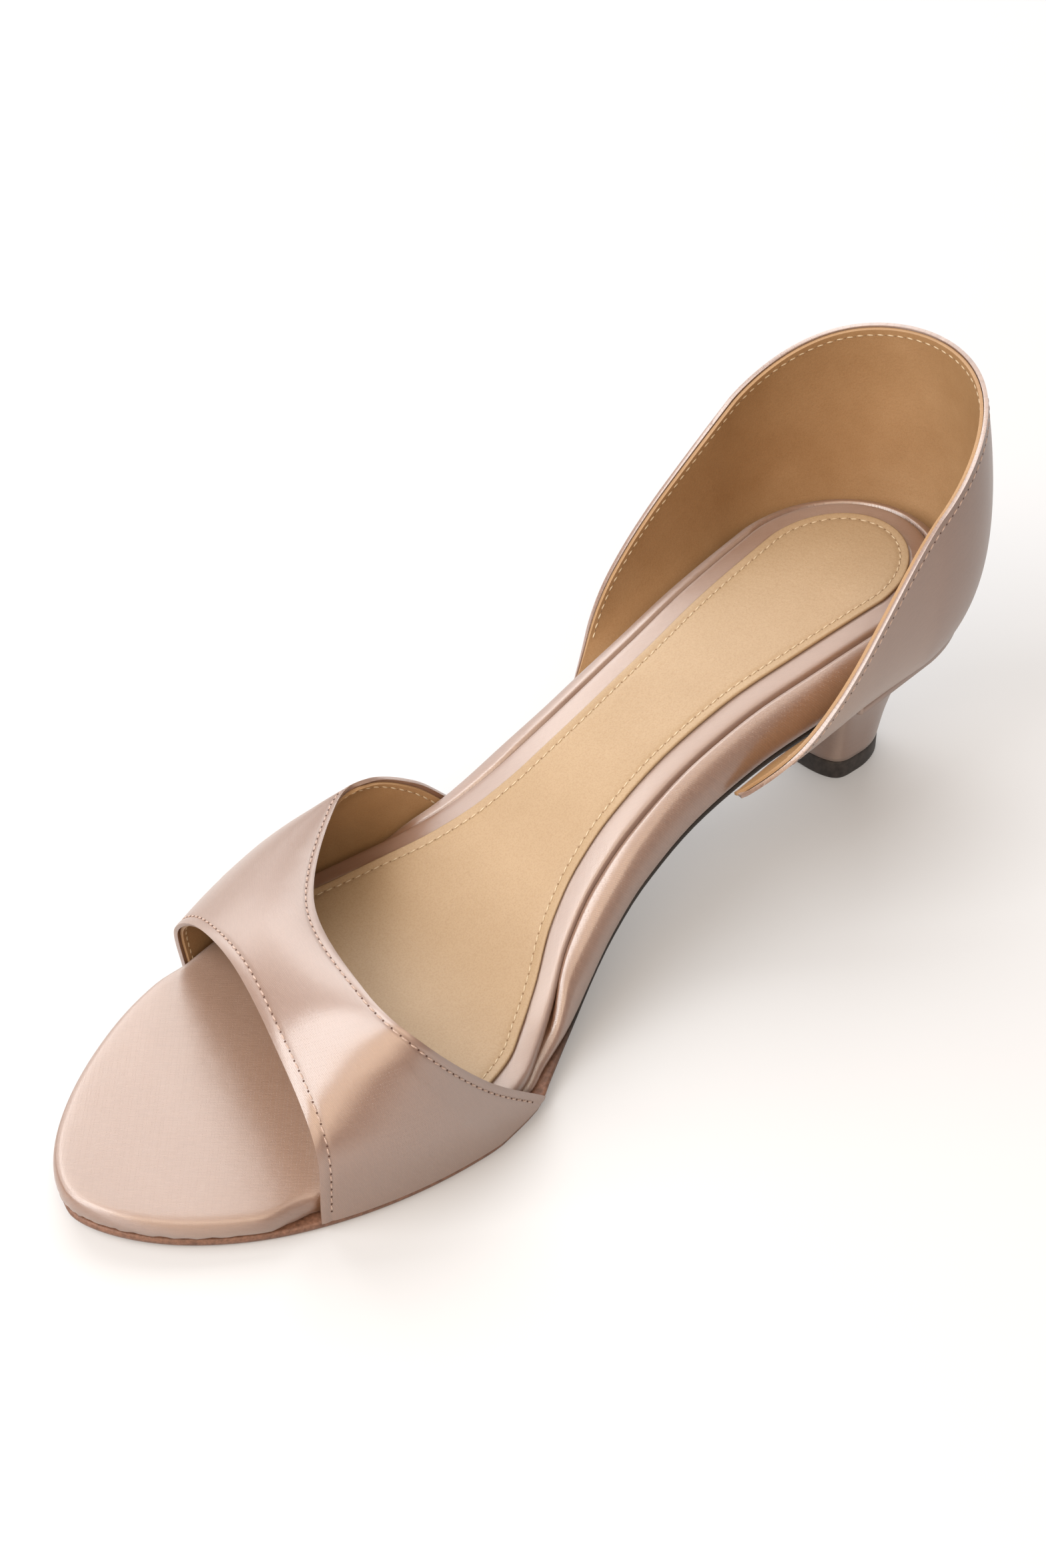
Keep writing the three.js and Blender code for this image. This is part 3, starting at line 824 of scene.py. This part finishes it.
def sew(name, paths, slot, thread, hole_shade):
    """A stitched row along each path: slanted stitches, and between each two a dark spot of painted shade
    where the needle went through.
    """
    stitches = []
    punched = []
    for path in paths:
        stitches += sewn_places(path, STITCH_PITCH * MM, STITCH_PITCH * MM)
        punched += sewn_places(path, STITCH_PITCH * MM, STITCH_PITCH * MM / 2)
    row = small_mounds(stitches, (STITCH_LENGTH, THREAD_WIDTH, THREAD_HEIGHT), STITCH_SLANT)
    row_piece = add_piece(name, row, slot)
    row_piece.data.materials.append(thread)
    # Each needle puncture is a flat dark grain on the surface: painted shade, not a real opening.
    shade_spots = small_mounds(punched, (HOLE_WIDTH, HOLE_WIDTH, HOLE_HEIGHT), 0)
    shade_spot_piece = add_piece(name + "_hole_shade", shade_spots, slot)
    shade_spot_piece.data.materials.append(hole_shade)


def sock_edge(side, u):
    if side == MEDIAL:
        half = bed_edge(MEDIAL, min(u, SEAT_CENTRE)) - SOCK_MARGIN
    else:
        slant = SOCK_FRONT_Y - (min(u, SEAT_CENTRE) - SOCK_FRONT_U) * SOCK_FRONT_SLOPE
        straight = SOCK_MARGIN - bed_edge(LATERAL, min(u, SEAT_CENTRE))
        half = -(straight + slant + math.hypot(straight - slant, SOCK_CORNER)) / 2
    past = max(u - SEAT_CENTRE, 0) / (BED_END - SOCK_MARGIN - SEAT_CENTRE)
    return half * math.sqrt(max(1 - past * past, 0))


def sock_top(u):
    return bed_top(u) + SOCK_LIFT + SOCK_THICKNESS


def sock_trough(inset):
    return SOCK_TROUGH * math.exp(-(((inset - SOCK_STITCH_IN) / SOCK_TROUGH_HALF) ** 2))


def make_sock(points, middle):
    rings = []
    cloth = []
    for share in SOCK_UNDER_SHARES:
        ring = gathered(points, middle, share)
        rings.append([place(u, y, bed_top(u) + SOCK_LIFT) for u, y in ring])
        cloth.append(ring)
    for inset, up in SOCK_SIDE:
        ring = drawn_in(points, middle, inset)
        rings.append([place(u, y, bed_top(u) + SOCK_LIFT + SOCK_THICKNESS * up) for u, y in ring])
        cloth.append(ring)
    for inset in SOCK_INSETS:
        ring = drawn_in(points, middle, inset)
        rings.append([place(u, y, sock_top(u) - sock_trough(inset)) for u, y in ring])
        cloth.append(ring)
    over = ring
    for share in SOCK_TOP_SHARES:
        ring = gathered(over, middle, share)
        rings.append([place(u, y, sock_top(u)) for u, y in ring])
        cloth.append(ring)
    return skin_through(rings, cloth)


sock_points = outline(stations(SOCK_FRONT_U, BED_END - SOCK_MARGIN, SOCK_STATIONS), sock_edge)
sock_middle = middle_line(sock_points, sock_edge, SOCK_REACH)
sock = add_piece("sock_leather", make_sock(sock_points, sock_middle), "tan_leather", "sock")
sock.data.materials.append(leather_finish("tan_sock_leather", *SOCK_TONES, SOCK_GRAIN, SOCK_GRAIN_DEPTH))
sewn_line = drawn_in(sock_points, sock_middle, SOCK_STITCH_IN)
sewn_line.append(sewn_line[0])
thread_sunk = THREAD_HEIGHT * THREAD_LIFT - SOCK_TROUGH
sock_path = [(place(u, y, sock_top(u) + thread_sunk), Vector((0, 0, 1))) for u, y in sewn_line]
tan_thread = plain_finish("tan_thread", *TAN_THREAD_TONES, scale=2500, roughness=0.5, depth=0.04)
tan_hole_shade = plain_finish("tan_hole_shade", *TAN_HOLE_SHADE_TONES, scale=900, roughness=0.8, depth=0.01)
sew("sock_stitches", [sock_path], "tan_leather", tan_thread, tan_hole_shade)


# Vamp strap: one wide band of satin over the ball of the foot, cut far back on the lateral side. Its edges
# are folded over, rolled a little and stitched down, and its feet are lasted down beside the footbed.
STRAP_PROUD = 0.4
STRAP_SEAT = 0.06
STRAP_CROWN = 2.6
STRAP_LATERAL_SWELL = 1
STRAP_SWELL_END = 0.6
STRAP_SWELL_FADE = 0.4
STRAP_FOOT_REACH = 0.42
SATIN_THICKNESS = 0.9
SATIN_EDGE_ROUND = 0.4
UPPER_THREAD_TURN = 0
EDGE_ZONE = 5
EDGE_SHARE = 0.25
NARROW_ZONE = 0.4
STRAP_STITCH_IN = 2
EDGE_ROLL = 0.08
EDGE_ROLL_IN = 0.8
EDGE_ROLL_HALF = 0.7
EDGE_TROUGH = 0.16
EDGE_TROUGH_HALF = 0.5
# share of the way over the instep from the lateral foot, u, y, height
STRAP_FRONT = [
    (0, 56.5, -39, 2.6),
    (0.17, 54.1, -37, 17.2),
    (0.33, 52, -25.4, 27.5),
    (0.5, 47.1, -6.3, 34),
    (0.67, 40.8, 14.1, 32.7),
    (0.84, 35.4, 32.2, 23.1),
    (1, 34.6, 33.8, 2.6),
]
STRAP_REAR = [
    (0, 122, -28.3, 19),
    (0.12, 114.6, -31.6, 26),
    (0.25, 103.9, -34, 31.2),
    (0.37, 91.9, -29.5, 34),
    (0.5, 67, -5.4, 38.7),
    (0.62, 56.5, 23, 42.4),
    (0.75, 58.4, 37.7, 37.7),
    (0.87, 72.1, 40.2, 19.2),
    (1, 88, 39.2, 2.8),
]


def round_curve(rows):
    """A round curve in space through (share, u, y, z) rows, free to swell between them."""
    last = len(rows) - 1

    def tangent(k, axis):
        before = rows[max(k - 1, 0)]
        after = rows[min(k + 1, last)]
        return (after[axis] - before[axis]) / (after[0] - before[0])

    def point_at(share):
        k = 0
        while k < last - 1 and share > rows[k + 1][0]:
            k += 1
        width = rows[k + 1][0] - rows[k][0]
        t = (share - rows[k][0]) / width
        found = []
        for axis in (1, 2, 3):
            rise = rows[k + 1][axis] - rows[k][axis]
            start = tangent(k, axis) * width
            end = tangent(k + 1, axis) * width
            bend = 3 * rise - 2 * start - end + t * (start + end - 2 * rise)
            found.append(rows[k][axis] + t * (start + t * bend))
        return Vector(found)

    return point_at


strap_front = round_curve(STRAP_FRONT)
strap_rear = round_curve(STRAP_REAR)


def foot_hold(share):
    t = min(max(share / STRAP_FOOT_REACH, 0), 1)
    return 1 - t**3 * (t * (6 * t - 15) + 10)


def strap_face(across, along):
    """Outer face of the strap: across from the lateral to the medial foot, along from front to rear."""
    point = strap_front(across).lerp(strap_rear(across), along)
    for foot, side, hold in ((0, LATERAL, foot_hold(across)), (1, MEDIAL, foot_hold(1 - across))):
        straight = strap_front(foot).lerp(strap_rear(foot), along)
        u = straight.x
        seat = Vector((u, side * (sole_edge(side, u) + STRAP_PROUD), outsole_top(u) + STRAP_SEAT))
        point += (seat - straight) * hold
    fade = smoothstep(STRAP_SWELL_END - across, 0, STRAP_SWELL_FADE)
    crown = STRAP_CROWN + STRAP_LATERAL_SWELL * fade
    swell = crown * 4 * along * (1 - along) * math.sin(math.pi * across)
    point.y -= math.cos(math.pi * across) * swell
    point.z += math.sin(math.pi * across) * swell
    return place(*point)


def face_normal(face, across, along):
    nudge = 0.002
    ahead = face(min(across + nudge, 1), along) - face(max(across - nudge, 0), along)
    aside = face(across, min(along + nudge, 1)) - face(across, max(along - nudge, 0))
    return ahead.cross(aside).normalized()


def face_width(face, across):
    """Length over the face from its first edge to its second, in millimetres."""
    count = 10
    points = [face(across, k / count) for k in range(count + 1)]
    return sum((b - a).length for a, b in zip(points, points[1:])) / MM


def edge_relief(inside):
    """Height of the folded edge: a soft roll at the very edge and a trough where it is stitched down."""
    roll = EDGE_ROLL * math.exp(-(((inside - EDGE_ROLL_IN) / EDGE_ROLL_HALF) ** 2))
    trough = EDGE_TROUGH * math.exp(-(((inside - STRAP_STITCH_IN) / EDGE_TROUGH_HALF) ** 2))
    return roll - trough


def share_of_width(step, width, margin):
    """Places across a width: one quarter of the steps inside each edge zone, the rest spread between."""
    if step > 0.5:
        return 1 - share_of_width(1 - step, width, margin)
    zone = min(EDGE_ZONE, width * NARROW_ZONE)
    inside = lerp(min(margin, zone * NARROW_ZONE), zone, min(step / EDGE_SHARE, 1))
    rest = max(step - EDGE_SHARE, 0) / (0.5 - EDGE_SHARE)
    return lerp(inside, width / 2, rest) / width


def sheet_over(face, columns, rows, lift, margin, relief, floor):
    """A sheet laid over a face at a lift above it, a margin inside its edges and never below a floor."""
    shape = bmesh.new()
    weave = shape.loops.layers.uv.new("weave")
    bmesh.ops.create_grid(shape, x_segments=columns, y_segments=rows, size=1)
    widths = {}
    runs = {}
    run = 0
    for k in range(columns + 1):
        across = k / columns
        widths[k] = face_width(face, across)
        if k:
            run += (face(across, 0.5) - face((k - 1) / columns, 0.5)).length
        runs[k] = run
    cloth = {}
    for vert in shape.verts:
        k = round((vert.co.x + 1) / 2 * columns)
        across = k / columns
        width = widths[k]
        along = share_of_width((vert.co.y + 1) / 2, width, margin)
        inside = min(along, 1 - along) * width
        height = lift + (edge_relief(inside) if relief else 0)
        point = face(across, along) + face_normal(face, across, along) * height * MM
        point.z = max(point.z, floor(TOE_X - point.x / MM) * MM)
        vert.co = point
        cloth[vert] = (runs[k], (along - 0.5) * width * MM)
    for part in shape.faces:
        for corner in part.loops:
            corner[weave].uv = cloth[corner.vert]
    return shape


def give_wall(piece, thickness, rounding):
    """A wall grown inwards from the outer face, with its cut edges rounded."""
    wall = piece.modifiers.new("wall", "SOLIDIFY")
    wall.thickness = thickness * MM
    wall.offset = -1
    rounded = piece.modifiers.new("rounded", "BEVEL")
    rounded.width = rounding * MM
    rounded.segments = 3
    rounded.limit_method = "ANGLE"
    rounded.angle_limit = math.radians(50)


def above_outsole(u):
    return outsole_top(u) + STRAP_SEAT


upper_satin = satin_finish("blush_upper_satin", UPPER_THREAD_TURN)
strap = add_piece(
    "strap_satin",
    sheet_over(strap_face, columns=170, rows=72, lift=0, margin=0, relief=True, floor=above_outsole),
    "satin",
    "vamp_strap",
)
give_wall(strap, SATIN_THICKNESS, SATIN_EDGE_ROUND)
strap.data.materials.append(upper_satin)


# Strap lining: tan leather stuck under the satin, cut a little short of the folded edges. It shows inside
# both openings of the strap, its colour darkened with painted shade for the strap's inside.
LINING_THICKNESS = 0.75
LINING_EDGE_ROUND = 0.2
LINING_GRAIN = 0.7
LINING_GRAIN_DEPTH = 0.03
LINING_SHORT = 0.9
LINING_CLEAR = 0.06
# Darker and more orange than the sock's tan: the leather's own colour with painted shade for the inside of
# the strap, used on the quarter's lining too.
LINING_TONES_WITH_SHADE = ((0.3, 0.17, 0.075), (0.365, 0.222, 0.11))

shaded_lining_finish = leather_finish("tan_lining_leather_and_shade", *LINING_TONES_WITH_SHADE, LINING_GRAIN, LINING_GRAIN_DEPTH)
under_satin = -SATIN_THICKNESS - LINING_CLEAR
strap_lining_sheet = sheet_over(
    strap_face,
    columns=120,
    rows=40,
    lift=under_satin,
    margin=LINING_SHORT,
    relief=False,
    floor=above_outsole,
)
strap_lining = add_piece("strap_lining", strap_lining_sheet, "tan_leather")
give_wall(strap_lining, LINING_THICKNESS, LINING_EDGE_ROUND)
strap_lining.data.materials.append(shaded_lining_finish)


# Strap stitches: pale thread along both edges, through satin and lining, with dark spots of painted shade at
# the needle punctures. The same rows show on the lining.
STITCH_START = 0.015
BLUSH_THREAD_TONES = ((0.34, 0.23, 0.18), (0.5, 0.38, 0.32))
# Painted shade for the needle punctures in the satin: flat dark grains, no real openings.
BLUSH_HOLE_SHADE_TONES = ((0.045, 0.018, 0.01), (0.1, 0.045, 0.03))


def edge_path(face, from_start, inside, lift, first, last):
    """The line of sewing at a distance inside one edge of a face, as points with their normals."""
    count = 500
    path = []
    for k in range(count + 1):
        across = lerp(first, last, k / count)
        along = inside / face_width(face, across)
        along = along if from_start else 1 - along
        normal = face_normal(face, across, along)
        path.append((face(across, along) + normal * lift * MM, normal))
    return path


blush_thread = plain_finish("blush_thread", *BLUSH_THREAD_TONES, scale=2500, roughness=0.45, depth=0.04)
blush_hole_shade = plain_finish("blush_hole_shade", *BLUSH_HOLE_SHADE_TONES, scale=900, roughness=0.8, depth=0.01)
outer_lift = -EDGE_TROUGH + THREAD_HEIGHT * THREAD_LIFT
inner_lift = under_satin - LINING_THICKNESS
sewn_strap = [
    edge_path(strap_face, start, STRAP_STITCH_IN, outer_lift, STITCH_START, 1 - STITCH_START)
    for start in (True, False)
]
sewn_lining = [
    edge_path(strap_face, start, STRAP_STITCH_IN, inner_lift, STITCH_START, 1 - STITCH_START)
    for start in (True, False)
]
sew("strap_stitches", sewn_strap, "satin", blush_thread, blush_hole_shade)
sew("strap_lining_stitches", sewn_lining, "tan_leather", tan_thread, tan_hole_shade)


# Heel quarter: the closed back of the upper, satin on a tan lining. It leaves the waist low on both sides,
# between board and outsole, flares out over the seat and is stitched along its folded top edge.
QUARTER_WALL = 1.8
QUARTER_START = 155
QUARTER_TUCK = 0.5
QUARTER_FLARE_FRONT = 9
QUARTER_FLARE_BACK = 5.5
QUARTER_RISE_FRONT = 5.5
QUARTER_RISE_BACK = 10
QUARTER_LEAN = 6
QUARTER_BACK_HEIGHT = 53
QUARTER_FRONT_END = 165
QUARTER_STRAIGHT_SHARE = 0.56
QUARTER_STITCH_START = 0.05
QUARTER_LINING_SHORT = 0.4
# u, height of the top edge above the outsole
QUARTER_TOP = [
    (155, 1),
    (160, 3.2),
    (166, 7),
    (174, 13.5),
    (188, 26),
    (208, 41),
    (230, 50.5),
    (246, QUARTER_BACK_HEIGHT),
]

quarter_top = curve_through(QUARTER_TOP)


def quarter_path(across):
    """The board's edge in plan, from the medial waist round the seat to the lateral waist."""
    side = MEDIAL if across < 0.5 else LATERAL
    run = 1 - abs(across - 0.5) * 2
    if run < QUARTER_STRAIGHT_SHARE:
        u = lerp(QUARTER_START, SEAT_CENTRE, run / QUARTER_STRAIGHT_SHARE)
        return u, side * board_waist(side, u)
    angle = (run - QUARTER_STRAIGHT_SHARE) / (1 - QUARTER_STRAIGHT_SHARE) * math.pi / 2
    u = SEAT_CENTRE + (BOARD_END - SEAT_CENTRE) * math.sin(angle)
    return u, side * board_waist(side, SEAT_CENTRE) * math.cos(angle)


def quarter_face(across, up):
    """Inner face of the quarter, across from the medial to the lateral end, up to its top edge."""
    nudge = 0.004
    u, y = quarter_path(across)
    before = quarter_path(max(across - nudge, 0))
    after = quarter_path(min(across + nudge, 1))
    length = math.hypot(after[0] - before[0], after[1] - before[1])
    height = up * quarter_top(u)
    backness = smoothstep(u, QUARTER_FRONT_END, SEAT_CENTRE)
    rise = lerp(QUARTER_RISE_FRONT, QUARTER_RISE_BACK, backness)
    flare = lerp(QUARTER_FLARE_FRONT, QUARTER_FLARE_BACK, backness) * (1 - math.exp(-height / rise))
    lean = QUARTER_LEAN * (height / QUARTER_BACK_HEIGHT) ** 2
    out = QUARTER_TUCK + flare - lean
    u -= (after[1] - before[1]) / length * out
    y += (after[0] - before[0]) / length * out
    return place(u, y, outsole_top(u) + GAP + height)


quarter_sheet = sheet_over(
    quarter_face, columns=170, rows=60, lift=QUARTER_WALL, margin=0, relief=False, floor=above_outsole
)
quarter = add_piece("quarter_satin", quarter_sheet, "satin", "heel_quarter")
give_wall(quarter, SATIN_THICKNESS, SATIN_EDGE_ROUND)
quarter.data.materials.append(upper_satin)
quarter_lining_sheet = sheet_over(
    quarter_face,
    columns=140,
    rows=40,
    lift=LINING_THICKNESS,
    margin=QUARTER_LINING_SHORT,
    relief=False,
    floor=above_outsole,
)
quarter_lining = add_piece("quarter_lining", quarter_lining_sheet, "tan_leather")
give_wall(quarter_lining, LINING_THICKNESS, LINING_EDGE_ROUND)
quarter_lining.data.materials.append(shaded_lining_finish)
sewn_quarter = edge_path(
    quarter_face, False, STRAP_STITCH_IN, QUARTER_WALL, QUARTER_STITCH_START, 1 - QUARTER_STITCH_START
)
sew("quarter_stitches", [sewn_quarter], "satin", blush_thread, blush_hole_shade)
sewn_quarter_lining = edge_path(
    quarter_face, False, STRAP_STITCH_IN, 0, QUARTER_STITCH_START, 1 - QUARTER_STITCH_START
)
sew("quarter_lining_stitches", [sewn_quarter_lining], "tan_leather", tan_thread, tan_hole_shade)


# Heel: a slim heel block covered in satin, its breast flat and its back curved in towards the top piece.
# Its seat is screwed up under the heel seat and the end of the outsole.
HEEL_BREAST = 187.5
HEEL_PROUD = 1.2
HEEL_SEAT_GAP = 0.1
HEEL_BREAST_SHARE = 0.42
HEEL_BREAST_ROUND = 0.4
HEEL_BREAST_SQUARE = 0.035
HEEL_POINTS = 96
HEEL_LEVELS = 26
HEEL_CLOTH_PITCH = 0.9
HEEL_CENTRE_SHARES = (0, 0.5)
HEEL_SEAT_DROPS = (2, 1.2, 0.5)
HEEL_SEAT_SHARES = (0.985, 0.5, 0)
# height, front, back, half width
HEEL_SECTIONS = [
    (5.3, 203, 224.4, 10.2),
    (12, 202.4, 226, 10.9),
    (21, 200.4, 229.2, 12.8),
    (30, 196.5, 233.4, 16.6),
    (38, 191.5, 236.4, 22.4),
]


def heel_section(front, back, half, corner):
    """A level section of the heel, round at the back; a smaller corner value makes its breast squarer."""
    straight = (back - front) * HEEL_BREAST_SHARE
    points = []
    for k in range(HEEL_POINTS):
        angle = 2 * math.pi * k / HEEL_POINTS
        lengthwise = -math.cos(angle)
        if lengthwise > 0:
            u = front + straight + lengthwise * (back - front - straight)
        else:
            u = front + straight - abs(lengthwise) ** corner * straight
        points.append((u, half * math.sin(angle)))
    return points


def make_heel():
    fronts = curve_through([(z, front) for z, front, back, half in HEEL_SECTIONS])
    backs = curve_through([(z, back) for z, front, back, half in HEEL_SECTIONS])
    halves = curve_through([(z, half) for z, front, back, half in HEEL_SECTIONS])
    low = HEEL_SECTIONS[0][0]
    high = HEEL_SECTIONS[-1][0]
    rings = []
    foot = heel_section(fronts(low), backs(low), halves(low), HEEL_BREAST_ROUND)
    middle = sum(u for u, y in foot) / HEEL_POINTS
    for share in HEEL_CENTRE_SHARES:
        rings.append([place(lerp(middle, u, share), y * share, low) for u, y in foot])
    for k in range(HEEL_LEVELS + 1):
        z = lerp(low, high, k / HEEL_LEVELS)
        corner = lerp(HEEL_BREAST_ROUND, HEEL_BREAST_SQUARE, k / HEEL_LEVELS)
        rings.append([place(u, y, z) for u, y in heel_section(fronts(z), backs(z), halves(z), corner)])
    seat_half = sole_edge(MEDIAL, SEAT_CENTRE) + HEEL_PROUD
    seat = heel_section(HEEL_BREAST, BOARD_END + HEEL_PROUD, seat_half, HEEL_BREAST_SQUARE)
    for down in HEEL_SEAT_DROPS:
        rings.append([place(u, y, outsole_top(u) - down) for u, y in seat])
    middle = sum(u for u, y in seat) / HEEL_POINTS
    for share in HEEL_SEAT_SHARES:
        ring = [(lerp(middle, u, share), y * share) for u, y in seat]
        rings.append([place(u, y, outsole_top(u) - HEEL_SEAT_GAP) for u, y in ring])
    cloth = []
    for ring in rings:
        height = sum(point.z for point in ring) / len(ring) / MM
        cloth.append([(k * HEEL_CLOTH_PITCH, height) for k in range(HEEL_POINTS)])
    return skin_through(rings, cloth)


heel = add_piece("covered_heel", make_heel(), "satin", "heel")
heel.data.materials.append(upper_satin)


# Top piece: a thin lift of dark rubber, pinned under the heel and flat on the floor.
# Its edges are ground round.
TIP_HEIGHT = 5
RUBBER_TONES = ((0.018, 0.014, 0.012), (0.045, 0.036, 0.032))
# inset from the heel's foot, height
TIP_EDGE = [(0.7, 0), (0.25, 0.2), (0, 0.7), (0, 4.4), (0.2, 4.9), (0.5, TIP_HEIGHT)]


def make_heel_tip():
    section = heel_section(*HEEL_SECTIONS[0][1:], HEEL_BREAST_ROUND)
    middle = sum(u for u, y in section) / HEEL_POINTS
    rings = []
    for share in HEEL_CENTRE_SHARES:
        rings.append([place(lerp(middle, u, share), y * share, 0) for u, y in section])
    centre = [(middle, 0)] * HEEL_POINTS
    for inset, z in TIP_EDGE:
        rings.append([place(u, y, z) for u, y in drawn_in(section, centre, inset)])
    for share in reversed(HEEL_CENTRE_SHARES):
        rings.append([place(lerp(middle, u, share), y * share, TIP_HEIGHT) for u, y in section])
    return skin_through(rings, [section] * len(rings))


heel_tip = add_piece("top_piece", make_heel_tip(), "top_piece", "heel_tip")
rubber = plain_finish("dark_rubber", *RUBBER_TONES, scale=700, roughness=0.6, depth=0.03)
heel_tip.data.materials.append(rubber)


# Floor and light: a pale table that glows softly, in a grey room. One large soft box stands ahead of the
# toe, a wide one high behind the lateral side, a low strip beside it, and a warm one near the camera.
FLOOR_HALF = 4
WHITE = (1, 1, 1)
WARM = (1, 0.79, 0.6)
ROOM = (0.34, 0.335, 0.33)
TABLE_TONE = (0.47, 0.47, 0.475, 1)
TABLE_GLOW = 0.17
# name, azimuth, elevation, distance, width, height, radiance, colour
SOFT_BOXES = [
    ("key_box", -16, 42, 1.3, 0.9, 1.2, 5.4, WHITE),
    ("back_box", -122, 48, 1.4, 1.5, 1.1, 3.6, WHITE),
    ("side_box", -95, 12, 1.4, 1.3, 0.4, 1.9, WHITE),
    ("near_box", 45, 45, 1.5, 1.4, 0.9, 4.3, WARM),
]


def soft_box(name, azimuth, elevation, distance, width, height, radiance, colour):
    """A soft box aimed at the sandal, from an azimuth round the floor counted from the toe's direction."""
    data = bpy.data.lights.new(name, "AREA")
    data.shape = "RECTANGLE"
    data.size = width
    data.size_y = height
    data.color = colour
    data.energy = radiance * math.pi * width * height
    lamp = bpy.data.objects.new(name, data)
    level = math.cos(math.radians(elevation)) * distance
    turn = math.radians(azimuth)
    height_above = math.sin(math.radians(elevation)) * distance
    lamp.location = (level * math.cos(turn), level * math.sin(turn), height_above)
    lamp.rotation_euler = (-lamp.location).to_track_quat("-Z", "Y").to_euler()
    bpy.context.scene.collection.objects.link(lamp)


ground = bmesh.new()
bmesh.ops.create_grid(ground, x_segments=1, y_segments=1, size=FLOOR_HALF)
floor_mesh = bpy.data.meshes.new("floor")
ground.to_mesh(floor_mesh)
ground.free()
floor = bpy.data.objects.new("floor", floor_mesh)
bpy.context.scene.collection.objects.link(floor)
table, table_shader = new_finish("lit_table", Base_Color=TABLE_TONE, Roughness=0.8)
table_shader.inputs["Emission Color"].default_value = (1, 1, 1, 1)
table_shader.inputs["Emission Strength"].default_value = TABLE_GLOW
floor_mesh.materials.append(table)
for box in SOFT_BOXES:
    soft_box(*box)
world = bpy.data.worlds.new("room")
world.use_nodes = True
world.node_tree.nodes["Background"].inputs["Color"].default_value = (*ROOM, 1)
bpy.context.scene.world = world
bpy.context.scene.view_settings.view_transform = "Standard"
